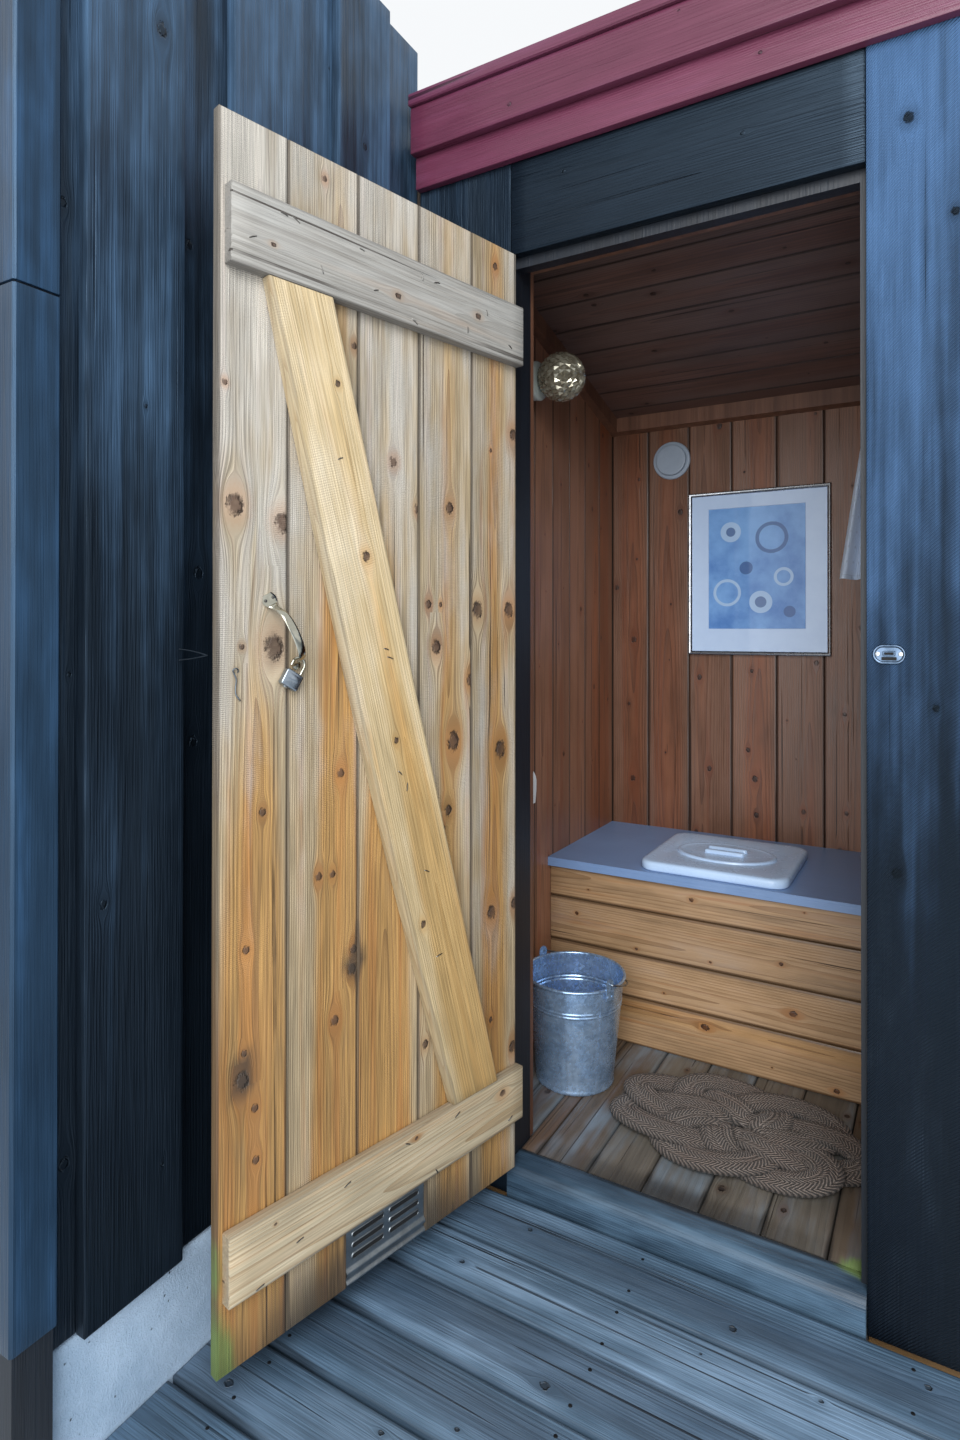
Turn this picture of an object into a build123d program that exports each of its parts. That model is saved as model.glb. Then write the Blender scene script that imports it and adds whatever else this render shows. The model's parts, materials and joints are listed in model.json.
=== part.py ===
# Outdoor privy cabin in the inner corner of a black boarded house wall.
# X runs right along the front wall, Y runs into the cabin, Z is up, all in mm.
# Inside this file X = 0 is the hinge side of the doorway, Y = 0 the outer face of
# the front wall and Z = 0 the top of the deck. write() moves every piece by one
# fixed step, so that the origin is on the ground under the middle of it all.

import math
import os

from build123d import *

os.makedirs("parts", exist_ok=True)

# Fits
CLEAR = 5
SEAT = 0.3
PIN_FIT = 0.05

# Heights over the top of the deck
GROUND = -180
FLOOR = 60
CLADDING_FOOT = 197
FRONT_FOOT = -14
SIDE_FOOT = -60
WING_OVER_ROOF = 150

# Door leaf: boards from the hinge edge to the free edge
DOOR_BOARDS = (139, 145, 146, 146, 126)
BOARD_GAP = 1
LEAF_HEIGHT = 1983
LEAF_THICK = 18
LEAF_WIDTH = sum(DOOR_BOARDS)
LEAF_FOOT = FLOOR + CLEAR
LEAF_TOP = LEAF_FOOT + LEAF_HEIGHT
FREE_EDGE = CLEAR + LEAF_WIDTH
OPEN_WIDTH = FREE_EDGE + CLEAR + 1
OPEN_ANGLE = 103.5
PIN_X = 0
PIN_Y = -8

# Ledges and brace on the inner face
LEDGE_THICK = 22
LEDGE_INSET = 10
TOP_LEDGE_DROP = 122
TOP_LEDGE_HIGH = 126
LOW_LEDGE_RISE = 116
LOW_LEDGE_HIGH = 111
BRACE_WIDE = 126
BRACE_FOOT_IN = 81
BRACE_HEAD_IN = 76
BRACE_BOW = 18

# Vent in the foot of the leaf
VENT_WIDE = 188
VENT_HIGH = 100
VENT_IN = 265
VENT_SHEET = 3
VENT_SLOT = 68

# Pull handles and the padlock that hangs open on the inner one
HANDLE_IN = 142
HANDLE_RISE = 1107
HANDLE_LONG = 112
HANDLE_OUT = 38
HANDLE_WIDE = 15
HANDLE_THICK = 8
HANDLE_BEND = 16
HANDLE_TILT = 25.9
HANDLE_PLATE = 3
LOCK_WIDE = 35
LOCK_HIGH = 29
LOCK_DEEP = 13
LOCK_TILT = 31
SHACKLE_WIRE = 2.6
SHACKLE_BEND = 12
SHACKLE_LEG = 15
SHACKLE_PULLED = 7
HOOK_WIRE = 1.5
HOOK_INSET = 10

# Tee hinges on the outer face
HINGE_LONG = 250
HINGE_STRAP = 4
KNUCKLE_HIGH = 24
KNUCKLE = 7.5
HINGE_PIN = 4
PLATE_HIGH = 90
PLATE_WIDE = 58
HINGE_LOW_RISE = 170
HINGE_HIGH_DROP = 188

# Board thicknesses
FRONT_BOARD = 23
CLAD = 22
LINING = 15
STUD = 75
FLOOR_BOARD = 28
DECK_BOARD = 28

# Doorway surround
HEAD_GAP = 12
STOP_LAP = 11
STOP_DEEP = 30
LINTEL_FOOT = LEAF_TOP + HEAD_GAP
STOP_FOOT = LEAF_TOP - STOP_LAP
JAMB_RIGHT = FREE_EDGE - LEDGE_INSET + CLEAR

# Room, measured to the faces of the lining
ROOM_LEFT_OF_DOOR = 197
ROOM_RIGHT_OF_DOOR = 68
ROOM_BACK = 1131
HEAD_ROOM = 183
SLOPE = 0.263
ROOM_LEFT = -ROOM_LEFT_OF_DOOR
ROOM_RIGHT = JAMB_RIGHT + ROOM_RIGHT_OF_DOOR
ROOM_FRONT = FRONT_BOARD + STUD + LINING
CEILING_FRONT = LEAF_TOP + HEAD_ROOM
CORNICE_THICK = 28
CORNICE_HIGH = 48

# Deck in front of the door
DECK_PITCH = 130
DECK_GAP = 8
DECK_FIRST = 134
DECK_ROWS = 6
DECK_START = -25
DECK_FRONT = DECK_START - DECK_FIRST - DECK_PITCH * (DECK_ROWS - 1)
JOIST = 46
JOIST_HIGH = 95
JOIST_INSET = 118

# House wall on the left
WALL_FACE = -243
WALL_BACK = -400
PLINTH_PROUD = 20
PLINTH_BACK = WALL_BACK - PLINTH_PROUD
PLINTH_TOP = CLADDING_FOOT - 5
WING_PAST_DECK = 81
WING_END = DECK_FRONT - WING_PAST_DECK
POST = 58
CASING = 70
CASING_FOOT = 250
CASING_JOINT = 1700
PLINTH_FACE = WALL_FACE - CLAD - 3

# Outer faces of the right and back walls
STUDS_LEFT = ROOM_LEFT - LINING
STUDS_RIGHT = ROOM_RIGHT + LINING + STUD
STUDS_BACK = ROOM_BACK + LINING + STUD
OUT_RIGHT = STUDS_RIGHT + 2 * CLAD
OUT_BACK = STUDS_BACK + 2 * CLAD

# Board on board cladding
CLAD_BOARD = 175
CLAD_PITCH = 280
WING_FIRST = 205
SIDE_FIRST = 118

# Roof and its edge boards
PANEL = 120
ROOF_SKIN = 8
ROOF_OVER = 40
EDGE_BOARD = 20
FASCIA_BOARD = 20
FASCIA_HIGH = 180
FASCIA_STEP = 73
FASCIA_RISE = 38
CAP_THICK = 28
CAP_LIP = 10
ROOF_RIGHT = OUT_RIGHT + ROOF_OVER
ROOF_BACK = OUT_BACK + ROOF_OVER + EDGE_BOARD
ROOF_TOP = LINING + PANEL + ROOF_SKIN

# Floor and what it stands on
PAD = 180
BEAM = 60
BEAM_HIGH = 152
FLOOR_PITCH = 120
FLOOR_JOINT = 41
FLOOR_GAP = 3
SILL_NOSE = 17
SILL_DEEP = 66
SILL_HIGH = 100
SILL_ROUND = 24

# Bench and seat lid
BENCH_TOP = 556
BENCH_EDGE = 605
BENCH_BOARD = 25
BENCH_LIP = 15
BENCH_FRONT = 22
BENCH_ROWS = (130, 119, 126)
BENCH_GAP = 2
SEAT_SIDE = 75
SEAT_END = 50
LID_X = 275
LID_LONG = 400
LID_FRONT_GAP = 13
LID_BACK_GAP = 125
LID_HIGH = 26
LID_CORNER = 34
LID_EDGE = 10
LID_DEEP = ROOM_BACK - LID_BACK_GAP - BENCH_EDGE - LID_FRONT_GAP
LID_Y = BENCH_EDGE + LID_FRONT_GAP + LID_DEEP / 2

# Fittings in the room
LAMP_Y = 452
LAMP_DROP = 216
LAMP_BASE = 54
LAMP_DEEP = 50
LAMP_EDGE = 8
GLOBE = 68
GLOBE_WALL = 4
GLOBE_SIDES = 16
GLOBE_RINGS = 7
GLOBE_SUNK = 6
CABLE = 3
VENT_X = 18
VENT_DROP = 155
VENT_DISC = 64
PICTURE_X = 300
PICTURE_DROP = 277
PICTURE_WIDE = 443
PICTURE_HIGH = 536
PICTURE_DEEP = 18
PICTURE_RIM = 12
ROLL = 37
ROLL_LONG = 100
ROLL_CORE = 18
ROLL_Y = 275
ROLL_Z = 836
ROLL_OUT = 64
KNOB_Y = 437
KNOB_Z = 897
TOWEL_Y = 445
TOWEL_DROP = 181
TOWEL_LONG = 617
TOWEL_SPREAD = 156
PEG = 6
PEG_OUT = 50
KEEPER_IN = 10
KEEPER_Z = 1187
KEEPER_WIDE = 52
KEEPER_HIGH = 34
MAT_X = 408
MAT_Y = 358
MAT_LONG = 630
MAT_WIDE = 430
MAT_HIGH = 26
MAT_EDGE = 9

# Bucket with its wire bail
BUCKET_X = -16
BUCKET_Y = 390
BUCKET_FOOT = 100
BUCKET_RIM = 128
BUCKET_HIGH = 270
BUCKET_WALL = 2
BUCKET_RAISE = 8
BUCKET_BEAD = 4
EAR_TURN = -25
EAR_WIDE = 26
EAR_OUT = 3
BAIL_WIRE = 2.5
BAIL_PIN = 2.2
BAIL_FIT = 0.4
BAIL_DROP = 18
WIRE_SIDES = 8

# Middle of the whole thing in these coordinates
RIGHT_MOST = ROOF_RIGHT + EDGE_BOARD
FRONT_MOST = WING_END - CASING
BACK_MOST = ROOF_BACK + EDGE_BOARD
MIDDLE_X = (PLINTH_BACK + RIGHT_MOST) / 2
MIDDLE_Y = (FRONT_MOST + BACK_MOST) / 2


def write(shape, node):
    """Moves a piece to the common origin and saves it as one file."""
    moved = Pos(-MIDDLE_X, -MIDDLE_Y, -GROUND) * shape
    export_step(moved, "parts/" + node + ".step")


def block(x0, x1, y0, y1, z0, z1):
    """A plain board or slab between two corners."""
    size = Box(x1 - x0, y1 - y0, z1 - z0)
    return Pos((x0 + x1) / 2, (y0 + y1) / 2, (z0 + z1) / 2) * size


def joined(pieces):
    """Several solids that stay one node."""
    return Compound(children=list(pieces))


def ceiling(y):
    """Height of the ceiling's underside at a depth into the cabin."""
    return CEILING_FRONT - (y - ROOM_FRONT) * SLOPE


def profile(x0, x1, corners):
    """A slab with an outline in the side view, from one x to another."""
    face = make_face(Polyline(*corners, close=True))
    side = Plane(origin=(x0, 0, 0), x_dir=(0, 1, 0), z_dir=(1, 0, 0))
    return extrude(side * face, x1 - x0)


def under_roof(x0, x1, y0, y1, foot, lift=0.0):
    """An upright slab whose top follows the roof slope."""
    corners = [(y0, foot), (y1, foot), (y1, ceiling(y1) + lift), (y0, ceiling(y0) + lift)]
    return profile(x0, x1, corners)


def sloping(x0, x1, y0, y1, low, high):
    """A slab that lies along the roof slope."""
    front = ceiling(y0)
    back = ceiling(y1)
    return profile(x0, x1, [(y0, front + low), (y1, back + low), (y1, back + high), (y0, front + high)])


def swung(shape):
    """Turns a piece of the closed door to where it stands open in the photo."""
    return Pos(PIN_X, PIN_Y, 0) * Rot(0, 0, -OPEN_ANGLE) * Pos(-PIN_X, -PIN_Y, 0) * shape


def rod(start, end, radius):
    """A round rod between two points."""
    line = Line(start, end)
    return sweep(Plane(origin=start, z_dir=line % 0) * Circle(radius), path=line)


# Heights that follow from the roof

front_top = ceiling(FRONT_BOARD) + ROOF_TOP
fascia_top = ceiling(0) + ROOF_TOP + FASCIA_RISE
fascia_foot = fascia_top - FASCIA_HIGH
wing_top = fascia_top + CAP_THICK + WING_OVER_ROOF
lamp_z = ceiling(LAMP_Y) - LAMP_DROP
vent_z = ceiling(ROOM_BACK) - VENT_DROP
picture_top = ceiling(ROOM_BACK) - PICTURE_DROP
towel_top = ceiling(TOWEL_Y) - TOWEL_DROP

# Ground works

write(block(PLINTH_BACK, PLINTH_FACE, WING_END, OUT_BACK, GROUND, PLINTH_TOP), "plinth")

def pad(middle_x, middle_y, top):
    """A square footing on the ground."""
    high = top - GROUND
    return Pos(middle_x, middle_y, GROUND + high / 2) * Box(PAD, PAD, high)


floor_under = FLOOR - FLOOR_BOARD
beam_foot = floor_under - BEAM_HIGH
joist_foot = -DECK_BOARD - JOIST_HIGH
deck_end = DECK_FRONT + 4
joist_places = (PLINTH_FACE + JOIST_INSET, (PLINTH_FACE + OUT_RIGHT) / 2, OUT_RIGHT - JOIST_INSET)
beam_places = (STUDS_LEFT + PAD / 2, (STUDS_LEFT + STUDS_RIGHT) / 2, STUDS_RIGHT - PAD / 2)
pads = []
for pad_x in beam_places:
    for pad_y in (FRONT_BOARD + PAD / 2, (FRONT_BOARD + STUDS_BACK) / 2, STUDS_BACK - PAD / 2):
        pads.append(pad(pad_x, pad_y, beam_foot))
for pad_x in joist_places:
    for pad_y in (deck_end + PAD / 2, DECK_START - PAD / 2 - 20):
        pads.append(pad(pad_x, pad_y, joist_foot))
write(joined(pads), "footings")

beam_front = FRONT_BOARD + 1
sill_back = SILL_DEEP - SILL_NOSE
front_beam = block(STUDS_LEFT, STUDS_RIGHT, beam_front, beam_front + BEAM, beam_foot, floor_under)
front_beam -= block(-1, OPEN_WIDTH + 1, 0, sill_back + SEAT, FLOOR - SILL_HIGH, FLOOR)
back_beam = block(STUDS_LEFT, STUDS_RIGHT, STUDS_BACK - BEAM, STUDS_BACK, beam_foot, floor_under)
frame = [front_beam, back_beam]
for beam_x in (STUDS_LEFT, (STUDS_LEFT + STUDS_RIGHT - BEAM) / 2, STUDS_RIGHT - BEAM):
    y0 = beam_front + BEAM + SEAT
    y1 = STUDS_BACK - BEAM - SEAT
    frame.append(block(beam_x, beam_x + BEAM, y0, y1, beam_foot, floor_under))
write(joined(frame), "floor_frame")

# Floor boards run front to back and stop against the posts of the door frame
boards = []
board_left = ROOM_LEFT + SEAT
board_right = FLOOR_JOINT - 2 * FLOOR_PITCH
while board_left < ROOM_RIGHT - 10:
    board_right = min(board_right + FLOOR_PITCH, ROOM_RIGHT - SEAT)
    board_edge = board_right - FLOOR_GAP / 2
    board = block(board_left, board_edge, sill_back + 2, ROOM_BACK - SEAT, floor_under, FLOOR)
    board -= block(STUDS_LEFT - 1, SEAT, 0, ROOM_FRONT + SEAT, floor_under - 1, FLOOR + 1)
    board -= block(JAMB_RIGHT - SEAT, ROOM_RIGHT + 1, 0, ROOM_FRONT + SEAT, floor_under - 1, FLOOR + 1)
    boards.append(board)
    board_left = board_right + FLOOR_GAP / 2
write(joined(boards), "floor_boards")

joists = []
for joist_x in joist_places:
    left = joist_x - JOIST / 2
    joists.append(block(left, left + JOIST, deck_end, DECK_START - 1, joist_foot, -DECK_BOARD))
write(joined(joists), "deck_joists")

deck = []
back_edge = DECK_START
for row in range(DECK_ROWS):
    front_edge = DECK_START - DECK_FIRST - DECK_PITCH * row
    deck.append(block(PLINTH_FACE + SEAT, OUT_RIGHT, front_edge, back_edge, -DECK_BOARD, 0))
    back_edge = front_edge - DECK_GAP
write(joined(deck), "deck_boards")

sill = block(SEAT, OPEN_WIDTH - SEAT, -SILL_NOSE, sill_back, FLOOR - SILL_HIGH, FLOOR)
nose = sill.edges().filter_by(Axis.X).group_by(Axis.Z)[-1].sort_by(Axis.Y)[0]
write(fillet(nose, SILL_ROUND), "threshold")

# House wall that the cabin leans against

wing_back = FRONT_BOARD - SEAT
write(block(WALL_BACK, WALL_FACE - 2 * CLAD, WING_END, wing_back, PLINTH_TOP, wing_top), "wing_wall")


def cover_centres(length, first):
    """Middles of the cover boards along a wall."""
    count = math.floor((length + 1 - CLAD_BOARD / 2 - first) / CLAD_PITCH) + 1
    return [first + CLAD_PITCH * number for number in range(count)]


def cladding(length, first, foot, top):
    """Board on board cladding along X, with its outer side towards +Y."""
    boards = [block(0, length, 0, CLAD, foot, top)]
    for centre in cover_centres(length, first):
        x0 = centre - CLAD_BOARD / 2
        boards.append(block(x0, x0 + CLAD_BOARD, CLAD + SEAT, 2 * CLAD, foot, top))
    return boards


wing_long = wing_back - WING_END
wing_clad = joined(cladding(wing_long, WING_FIRST + FRONT_BOARD, CLADDING_FOOT, wing_top))
write(Pos(WALL_FACE - 2 * CLAD, wing_back, 0) * Rot(0, 0, -90) * wing_clad, "wing_cladding")

post_x = WALL_FACE - CASING / 2
post_y = WING_END - CASING / 2


def upright(width, foot, top):
    """A square upright at the outer corner of the wing."""
    half = width / 2
    return block(post_x - half, post_x + half, post_y - half, post_y + half, foot, top)


casings = [upright(CASING, CASING_FOOT, CASING_JOINT - 2), upright(CASING, CASING_JOINT + 2, wing_top)]
write(joined(casings), "corner_casing")
post = upright(POST, GROUND, CASING_FOOT)
post += upright(POST, CASING_JOINT - 2, CASING_JOINT + 2)
write(post, "corner_post")

# Cabin walls

write(under_roof(WALL_BACK, STUDS_LEFT, FRONT_BOARD, OUT_BACK, PLINTH_TOP, LINING), "left_wall")
right_x = STUDS_RIGHT - STUD
back_y = STUDS_BACK - STUD
write(under_roof(right_x, STUDS_RIGHT, FRONT_BOARD, STUDS_BACK, floor_under, LINING), "right_wall")
write(under_roof(STUDS_LEFT, right_x, back_y, STUDS_BACK, floor_under, LINING), "back_wall")

roof_cut = under_roof(WALL_BACK, RIGHT_MOST, 0, BACK_MOST, SIDE_FOOT - 1, LINING)
side_place = Pos(STUDS_RIGHT, OUT_BACK, 0) * Rot(0, 0, -90)
side_boards = cladding(OUT_BACK - FRONT_BOARD, SIDE_FIRST, SIDE_FOOT, wing_top)
write(joined([(side_place * board) & roof_cut for board in side_boards]), "right_cladding")
back_place = Pos(STUDS_LEFT, STUDS_BACK, 0)
back_boards = cladding(STUDS_RIGHT - STUDS_LEFT, SIDE_FIRST, SIDE_FOOT, wing_top)
write(joined([(back_place * board) & roof_cut for board in back_boards]), "back_cladding")

left_boards = block(WALL_FACE + SEAT, -SEAT, 0, FRONT_BOARD, FRONT_FOOT, front_top)
right_boards = block(OPEN_WIDTH, OUT_RIGHT, 0, FRONT_BOARD, FRONT_FOOT, front_top)
write(joined([left_boards, right_boards]), "front_boards")
write(block(0, OPEN_WIDTH - SEAT, 0, FRONT_BOARD, LINTEL_FOOT, front_top), "lintel_board")

frame_back = FRONT_BOARD + STUD
door_frame = under_roof(STUDS_LEFT, STUDS_RIGHT - STUD, FRONT_BOARD, frame_back, floor_under, 0)
door_frame -= block(0, JAMB_RIGHT, 0, frame_back + 1, floor_under - 1, STOP_FOOT)
door_frame -= block(0, JAMB_RIGHT, FRONT_BOARD + STOP_DEEP, frame_back + 1, FLOOR, LINTEL_FOOT)
door_frame -= block(0, OPEN_WIDTH, 0, sill_back + SEAT, floor_under - 1, FLOOR)
write(door_frame, "door_frame")

# Lining of the room

write(under_roof(STUDS_LEFT, ROOM_LEFT, ROOM_FRONT, ROOM_BACK, FLOOR), "lining_left")
write(under_roof(ROOM_RIGHT, ROOM_RIGHT + LINING, ROOM_FRONT, ROOM_BACK, FLOOR), "lining_right")
lining_back = profile(
    STUDS_LEFT,
    ROOM_RIGHT + LINING,
    [
        (ROOM_BACK, FLOOR),
        (ROOM_BACK + LINING, FLOOR),
        (ROOM_BACK + LINING, ceiling(ROOM_BACK + LINING)),
        (ROOM_BACK, ceiling(ROOM_BACK)),
    ],
)
write(lining_back, "lining_back")
front_lining = under_roof(STUDS_LEFT, ROOM_RIGHT + LINING, frame_back, ROOM_FRONT, FLOOR)
front_lining -= block(0, JAMB_RIGHT, frame_back - 1, ROOM_FRONT + 1, FLOOR - 1, LINTEL_FOOT)
write(front_lining, "lining_front")
write(sloping(STUDS_LEFT, ROOM_RIGHT + LINING, FRONT_BOARD + SEAT, back_y, 0, LINING), "ceiling")

strip_end = ROOM_BACK - CORNICE_THICK - 1
strips = [
    sloping(ROOM_LEFT, ROOM_LEFT + CORNICE_THICK, ROOM_FRONT, strip_end, -CORNICE_HIGH, 0),
    sloping(ROOM_RIGHT - CORNICE_THICK, ROOM_RIGHT, ROOM_FRONT, strip_end, -CORNICE_HIGH, 0),
    sloping(ROOM_LEFT, ROOM_RIGHT, strip_end + SEAT, ROOM_BACK - SEAT, -CORNICE_HIGH, 0),
]
write(joined(strips), "cornice")

# Roof and its edge boards

roof_front = FRONT_BOARD
write(sloping(WALL_BACK, ROOF_RIGHT, roof_front, ROOF_BACK, LINING, LINING + PANEL), "roof_panel")
write(sloping(WALL_BACK, ROOF_RIGHT, roof_front, ROOF_BACK, LINING + PANEL, ROOF_TOP), "roof_covering")
fascia_left = WALL_FACE + SEAT
step = fascia_foot + FASCIA_STEP
lower = block(fascia_left, RIGHT_MOST, -FASCIA_BOARD, 0, fascia_foot, fascia_top)
write(lower, "fascia_lower")
main_front = -2 * FASCIA_BOARD - 2
write(block(fascia_left, RIGHT_MOST, main_front, -FASCIA_BOARD, step, fascia_top), "fascia_main")
cap_front = main_front - CAP_LIP
cap_top = fascia_top + CAP_THICK
write(block(fascia_left, RIGHT_MOST, cap_front, FRONT_BOARD, fascia_top, cap_top), "fascia_cap")
write(sloping(ROOF_RIGHT, RIGHT_MOST, 0, BACK_MOST, -10, ROOF_TOP + 12), "side_fascia")
write(sloping(WALL_BACK, ROOF_RIGHT, ROOF_BACK, BACK_MOST, -10, ROOF_TOP), "back_fascia")

# Bench with the seat lid

bench_under = BENCH_TOP - BENCH_BOARD
bench = block(ROOM_LEFT, ROOM_RIGHT, BENCH_EDGE, ROOM_BACK, bench_under, BENCH_TOP)
seat_hole = Ellipse(LID_LONG / 2 - SEAT_SIDE, LID_DEEP / 2 - SEAT_END)
seat_hole = extrude(seat_hole, BENCH_BOARD * 2, both=True)
write(bench - Pos(LID_X, LID_Y, BENCH_TOP) * seat_hole, "bench_top")
rows = []
foot = FLOOR
front_y = BENCH_EDGE + BENCH_LIP
for high in BENCH_ROWS + (BENCH_TOP,):
    top = min(foot + high, bench_under)
    rows.append(block(ROOM_LEFT + SEAT, ROOM_RIGHT - SEAT, front_y, front_y + BENCH_FRONT, foot, top))
    foot = top + BENCH_GAP
write(joined(rows), "bench_front")

lid_top = BENCH_TOP + LID_HIGH
lid = Pos(LID_X, LID_Y, BENCH_TOP + LID_HIGH / 2) * Box(LID_LONG, LID_DEEP, LID_HIGH)
lid = fillet(lid.edges().filter_by(Axis.Z), LID_CORNER)
lid = chamfer(lid.faces().sort_by(Axis.Z)[-1].edges(), LID_EDGE)
raised = extrude(Ellipse(LID_LONG * 0.345, LID_DEEP * 0.26), 4)
bars = Pos(0, 21, 4) * SlotOverall(112, 17)
bars += Pos(0, -21, 4) * SlotOverall(112, 17)
write(lid + Pos(LID_X, LID_Y, lid_top) * (raised + extrude(bars, 9)), "seat_lid")

# Fittings in the room

along_x = Rot(0, 90, 0)
base = Pos(ROOM_LEFT + LAMP_DEEP / 2, LAMP_Y, lamp_z) * along_x * Cylinder(LAMP_BASE, LAMP_DEEP)
lamp_front = base.faces().sort_by(Axis.X)[-1]
base = chamfer(lamp_front.edges(), LAMP_EDGE)
cable_x = ROOM_LEFT + CABLE + SEAT
cable_top = ceiling(LAMP_Y) - CORNICE_HIGH - CABLE / 2
cable_foot = (cable_x, LAMP_Y, lamp_z + LAMP_BASE - 2)
write(base + rod(cable_foot, (cable_x, LAMP_Y, cable_top), CABLE), "lamp_base")


def flat_face(corners):
    """A flat face with these corners."""
    return make_face(Polyline(*corners, close=True))


def facets(radius, first, last):
    """Part of a ball cut in flat facets, between two places along its axis."""
    rings = []
    start = math.acos(first / radius)
    for ring in range(GLOBE_RINGS + 1):
        turn = start + (math.acos(last / radius) - start) * ring / GLOBE_RINGS
        plane = Plane(origin=(radius * math.cos(turn), 0, 0), x_dir=(0, 1, 0), z_dir=(1, 0, 0))
        outline = plane * RegularPolygon(radius * math.sin(turn), GLOBE_SIDES)
        rings.append([corner.center() for corner in outline.vertices()])
    faces = [flat_face(rings[0]), flat_face(rings[-1])]
    for near, far in zip(rings, rings[1:]):
        for side in range(GLOBE_SIDES):
            before = side - 1
            faces.append(flat_face((near[before], near[side], far[side], far[before])))
    return Solid(Shell(faces)).fix()


neck = GLOBE - GLOBE_SUNK
globe = facets(GLOBE, -neck, GLOBE * 0.96)
globe -= facets(GLOBE - GLOBE_WALL, GLOBE_WALL / 2 - neck, (GLOBE - GLOBE_WALL) * 0.96)
opening = RegularPolygon(GLOBE * 0.3, GLOBE_SIDES)
globe -= extrude(Plane(origin=(-neck, 0, 0), z_dir=(1, 0, 0)) * opening, GLOBE_WALL, both=True)
write(Pos(ROOM_LEFT + LAMP_DEEP + neck + SEAT, LAMP_Y, lamp_z) * globe, "lamp_globe")

to_room = Rot(90, 0, 0)
disc = Pos(VENT_X, ROOM_BACK - 4, vent_z) * to_room * Cylinder(VENT_DISC, 8)
disc += Pos(VENT_X, ROOM_BACK - 10, vent_z) * to_room * Cylinder(VENT_DISC / 3, 8)
disc += Pos(VENT_X, ROOM_BACK - 15, vent_z) * to_room * Cylinder(VENT_DISC * 0.8, 6)
write(disc, "vent_disc")

pic_left = PICTURE_X - PICTURE_WIDE / 2
pic_right = pic_left + PICTURE_WIDE
pic_top = picture_top
pic_foot = pic_top - PICTURE_HIGH
pic_inner = ROOM_BACK - PICTURE_DEEP + 8
picture = block(pic_left, pic_right, ROOM_BACK - PICTURE_DEEP, ROOM_BACK, pic_foot, pic_top)
rim = PICTURE_RIM
picture -= block(pic_left + rim, pic_right - rim, 0, pic_inner, pic_foot + rim, pic_top - rim)
write(picture, "picture_frame")
rim = PICTURE_RIM + SEAT
glass = block(pic_left + rim, pic_right - rim, pic_inner - 3, pic_inner, pic_foot + rim, pic_top - rim)
write(glass, "picture_print")

roll_x = ROOM_LEFT + ROLL_OUT
tube = Cylinder(ROLL, ROLL_LONG) - Cylinder(ROLL_CORE, ROLL_LONG)
write(Pos(roll_x, ROLL_Y, ROLL_Z) * to_room * tube, "paper_roll")
arm = ROLL_LONG / 2 + 1
holder = Pos(roll_x, ROLL_Y, ROLL_Z) * to_room * Cylinder(ROLL_CORE - SEAT, 2 * arm + 2)
for arm_y in (ROLL_Y - arm - 3, ROLL_Y + arm):
    holder += block(ROOM_LEFT, roll_x + 10, arm_y, arm_y + 3, ROLL_Z - 12, ROLL_Z + 12)
write(holder, "roll_holder")
knob = Pos(ROOM_LEFT + 6, KNOB_Y, KNOB_Z) * along_x * Cylinder(5, 12)
knob += Pos(ROOM_LEFT + 15, KNOB_Y, KNOB_Z) * along_x * chamfer(Cylinder(10, 12).edges(), 3)
peg_z = towel_top - 8
peg_foot = peg_z - PEG - SEAT
peg = Pos(ROOM_RIGHT - PEG_OUT / 2, TOWEL_Y, peg_z) * along_x * Cylinder(PEG, PEG_OUT)
peg += Pos(ROOM_RIGHT - 3, TOWEL_Y, peg_z) * along_x * Cylinder(18, 6)
write(joined([knob, peg]), "wall_pegs")
hang = [
    (ROOM_RIGHT - 10, peg_foot - 8),
    (ROOM_RIGHT - 22, peg_foot),
    (ROOM_RIGHT - 46, peg_foot),
    (ROOM_RIGHT - TOWEL_SPREAD * 0.61, towel_top - TOWEL_LONG * 0.335),
    (ROOM_RIGHT - TOWEL_SPREAD * 0.95, towel_top - TOWEL_LONG * 0.843),
    (ROOM_RIGHT - TOWEL_SPREAD, towel_top - TOWEL_LONG),
    (ROOM_RIGHT - 8, towel_top - TOWEL_LONG),
]
cloth = Plane.XZ * make_face(Polyline(*hang, close=True))
cloth = Pos(0, TOWEL_Y - 30, 0) * extrude(cloth, 60, dir=(0, 1, 0))
write(cloth, "towel")

keeper_x = OPEN_WIDTH + KEEPER_IN + KEEPER_WIDE / 2
keeper = Plane.XZ * SlotOverall(KEEPER_WIDE, KEEPER_HIGH)
keeper = Pos(keeper_x, -3, KEEPER_Z) * extrude(keeper, 3, dir=(0, 1, 0))
keeper += Pos(keeper_x, -6, KEEPER_Z) * Box(16, 8, 14)
write(keeper, "keeper_plate")

mat = extrude(Ellipse(MAT_LONG / 2, MAT_WIDE / 2), MAT_HIGH)
mat = chamfer(mat.faces().sort_by(Axis.Z)[-1].edges(), MAT_EDGE)
write(Pos(MAT_X, MAT_Y, FLOOR) * mat, "floor_mat")

# Bucket, drawn about its own axis with the bail's ears on X

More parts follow.
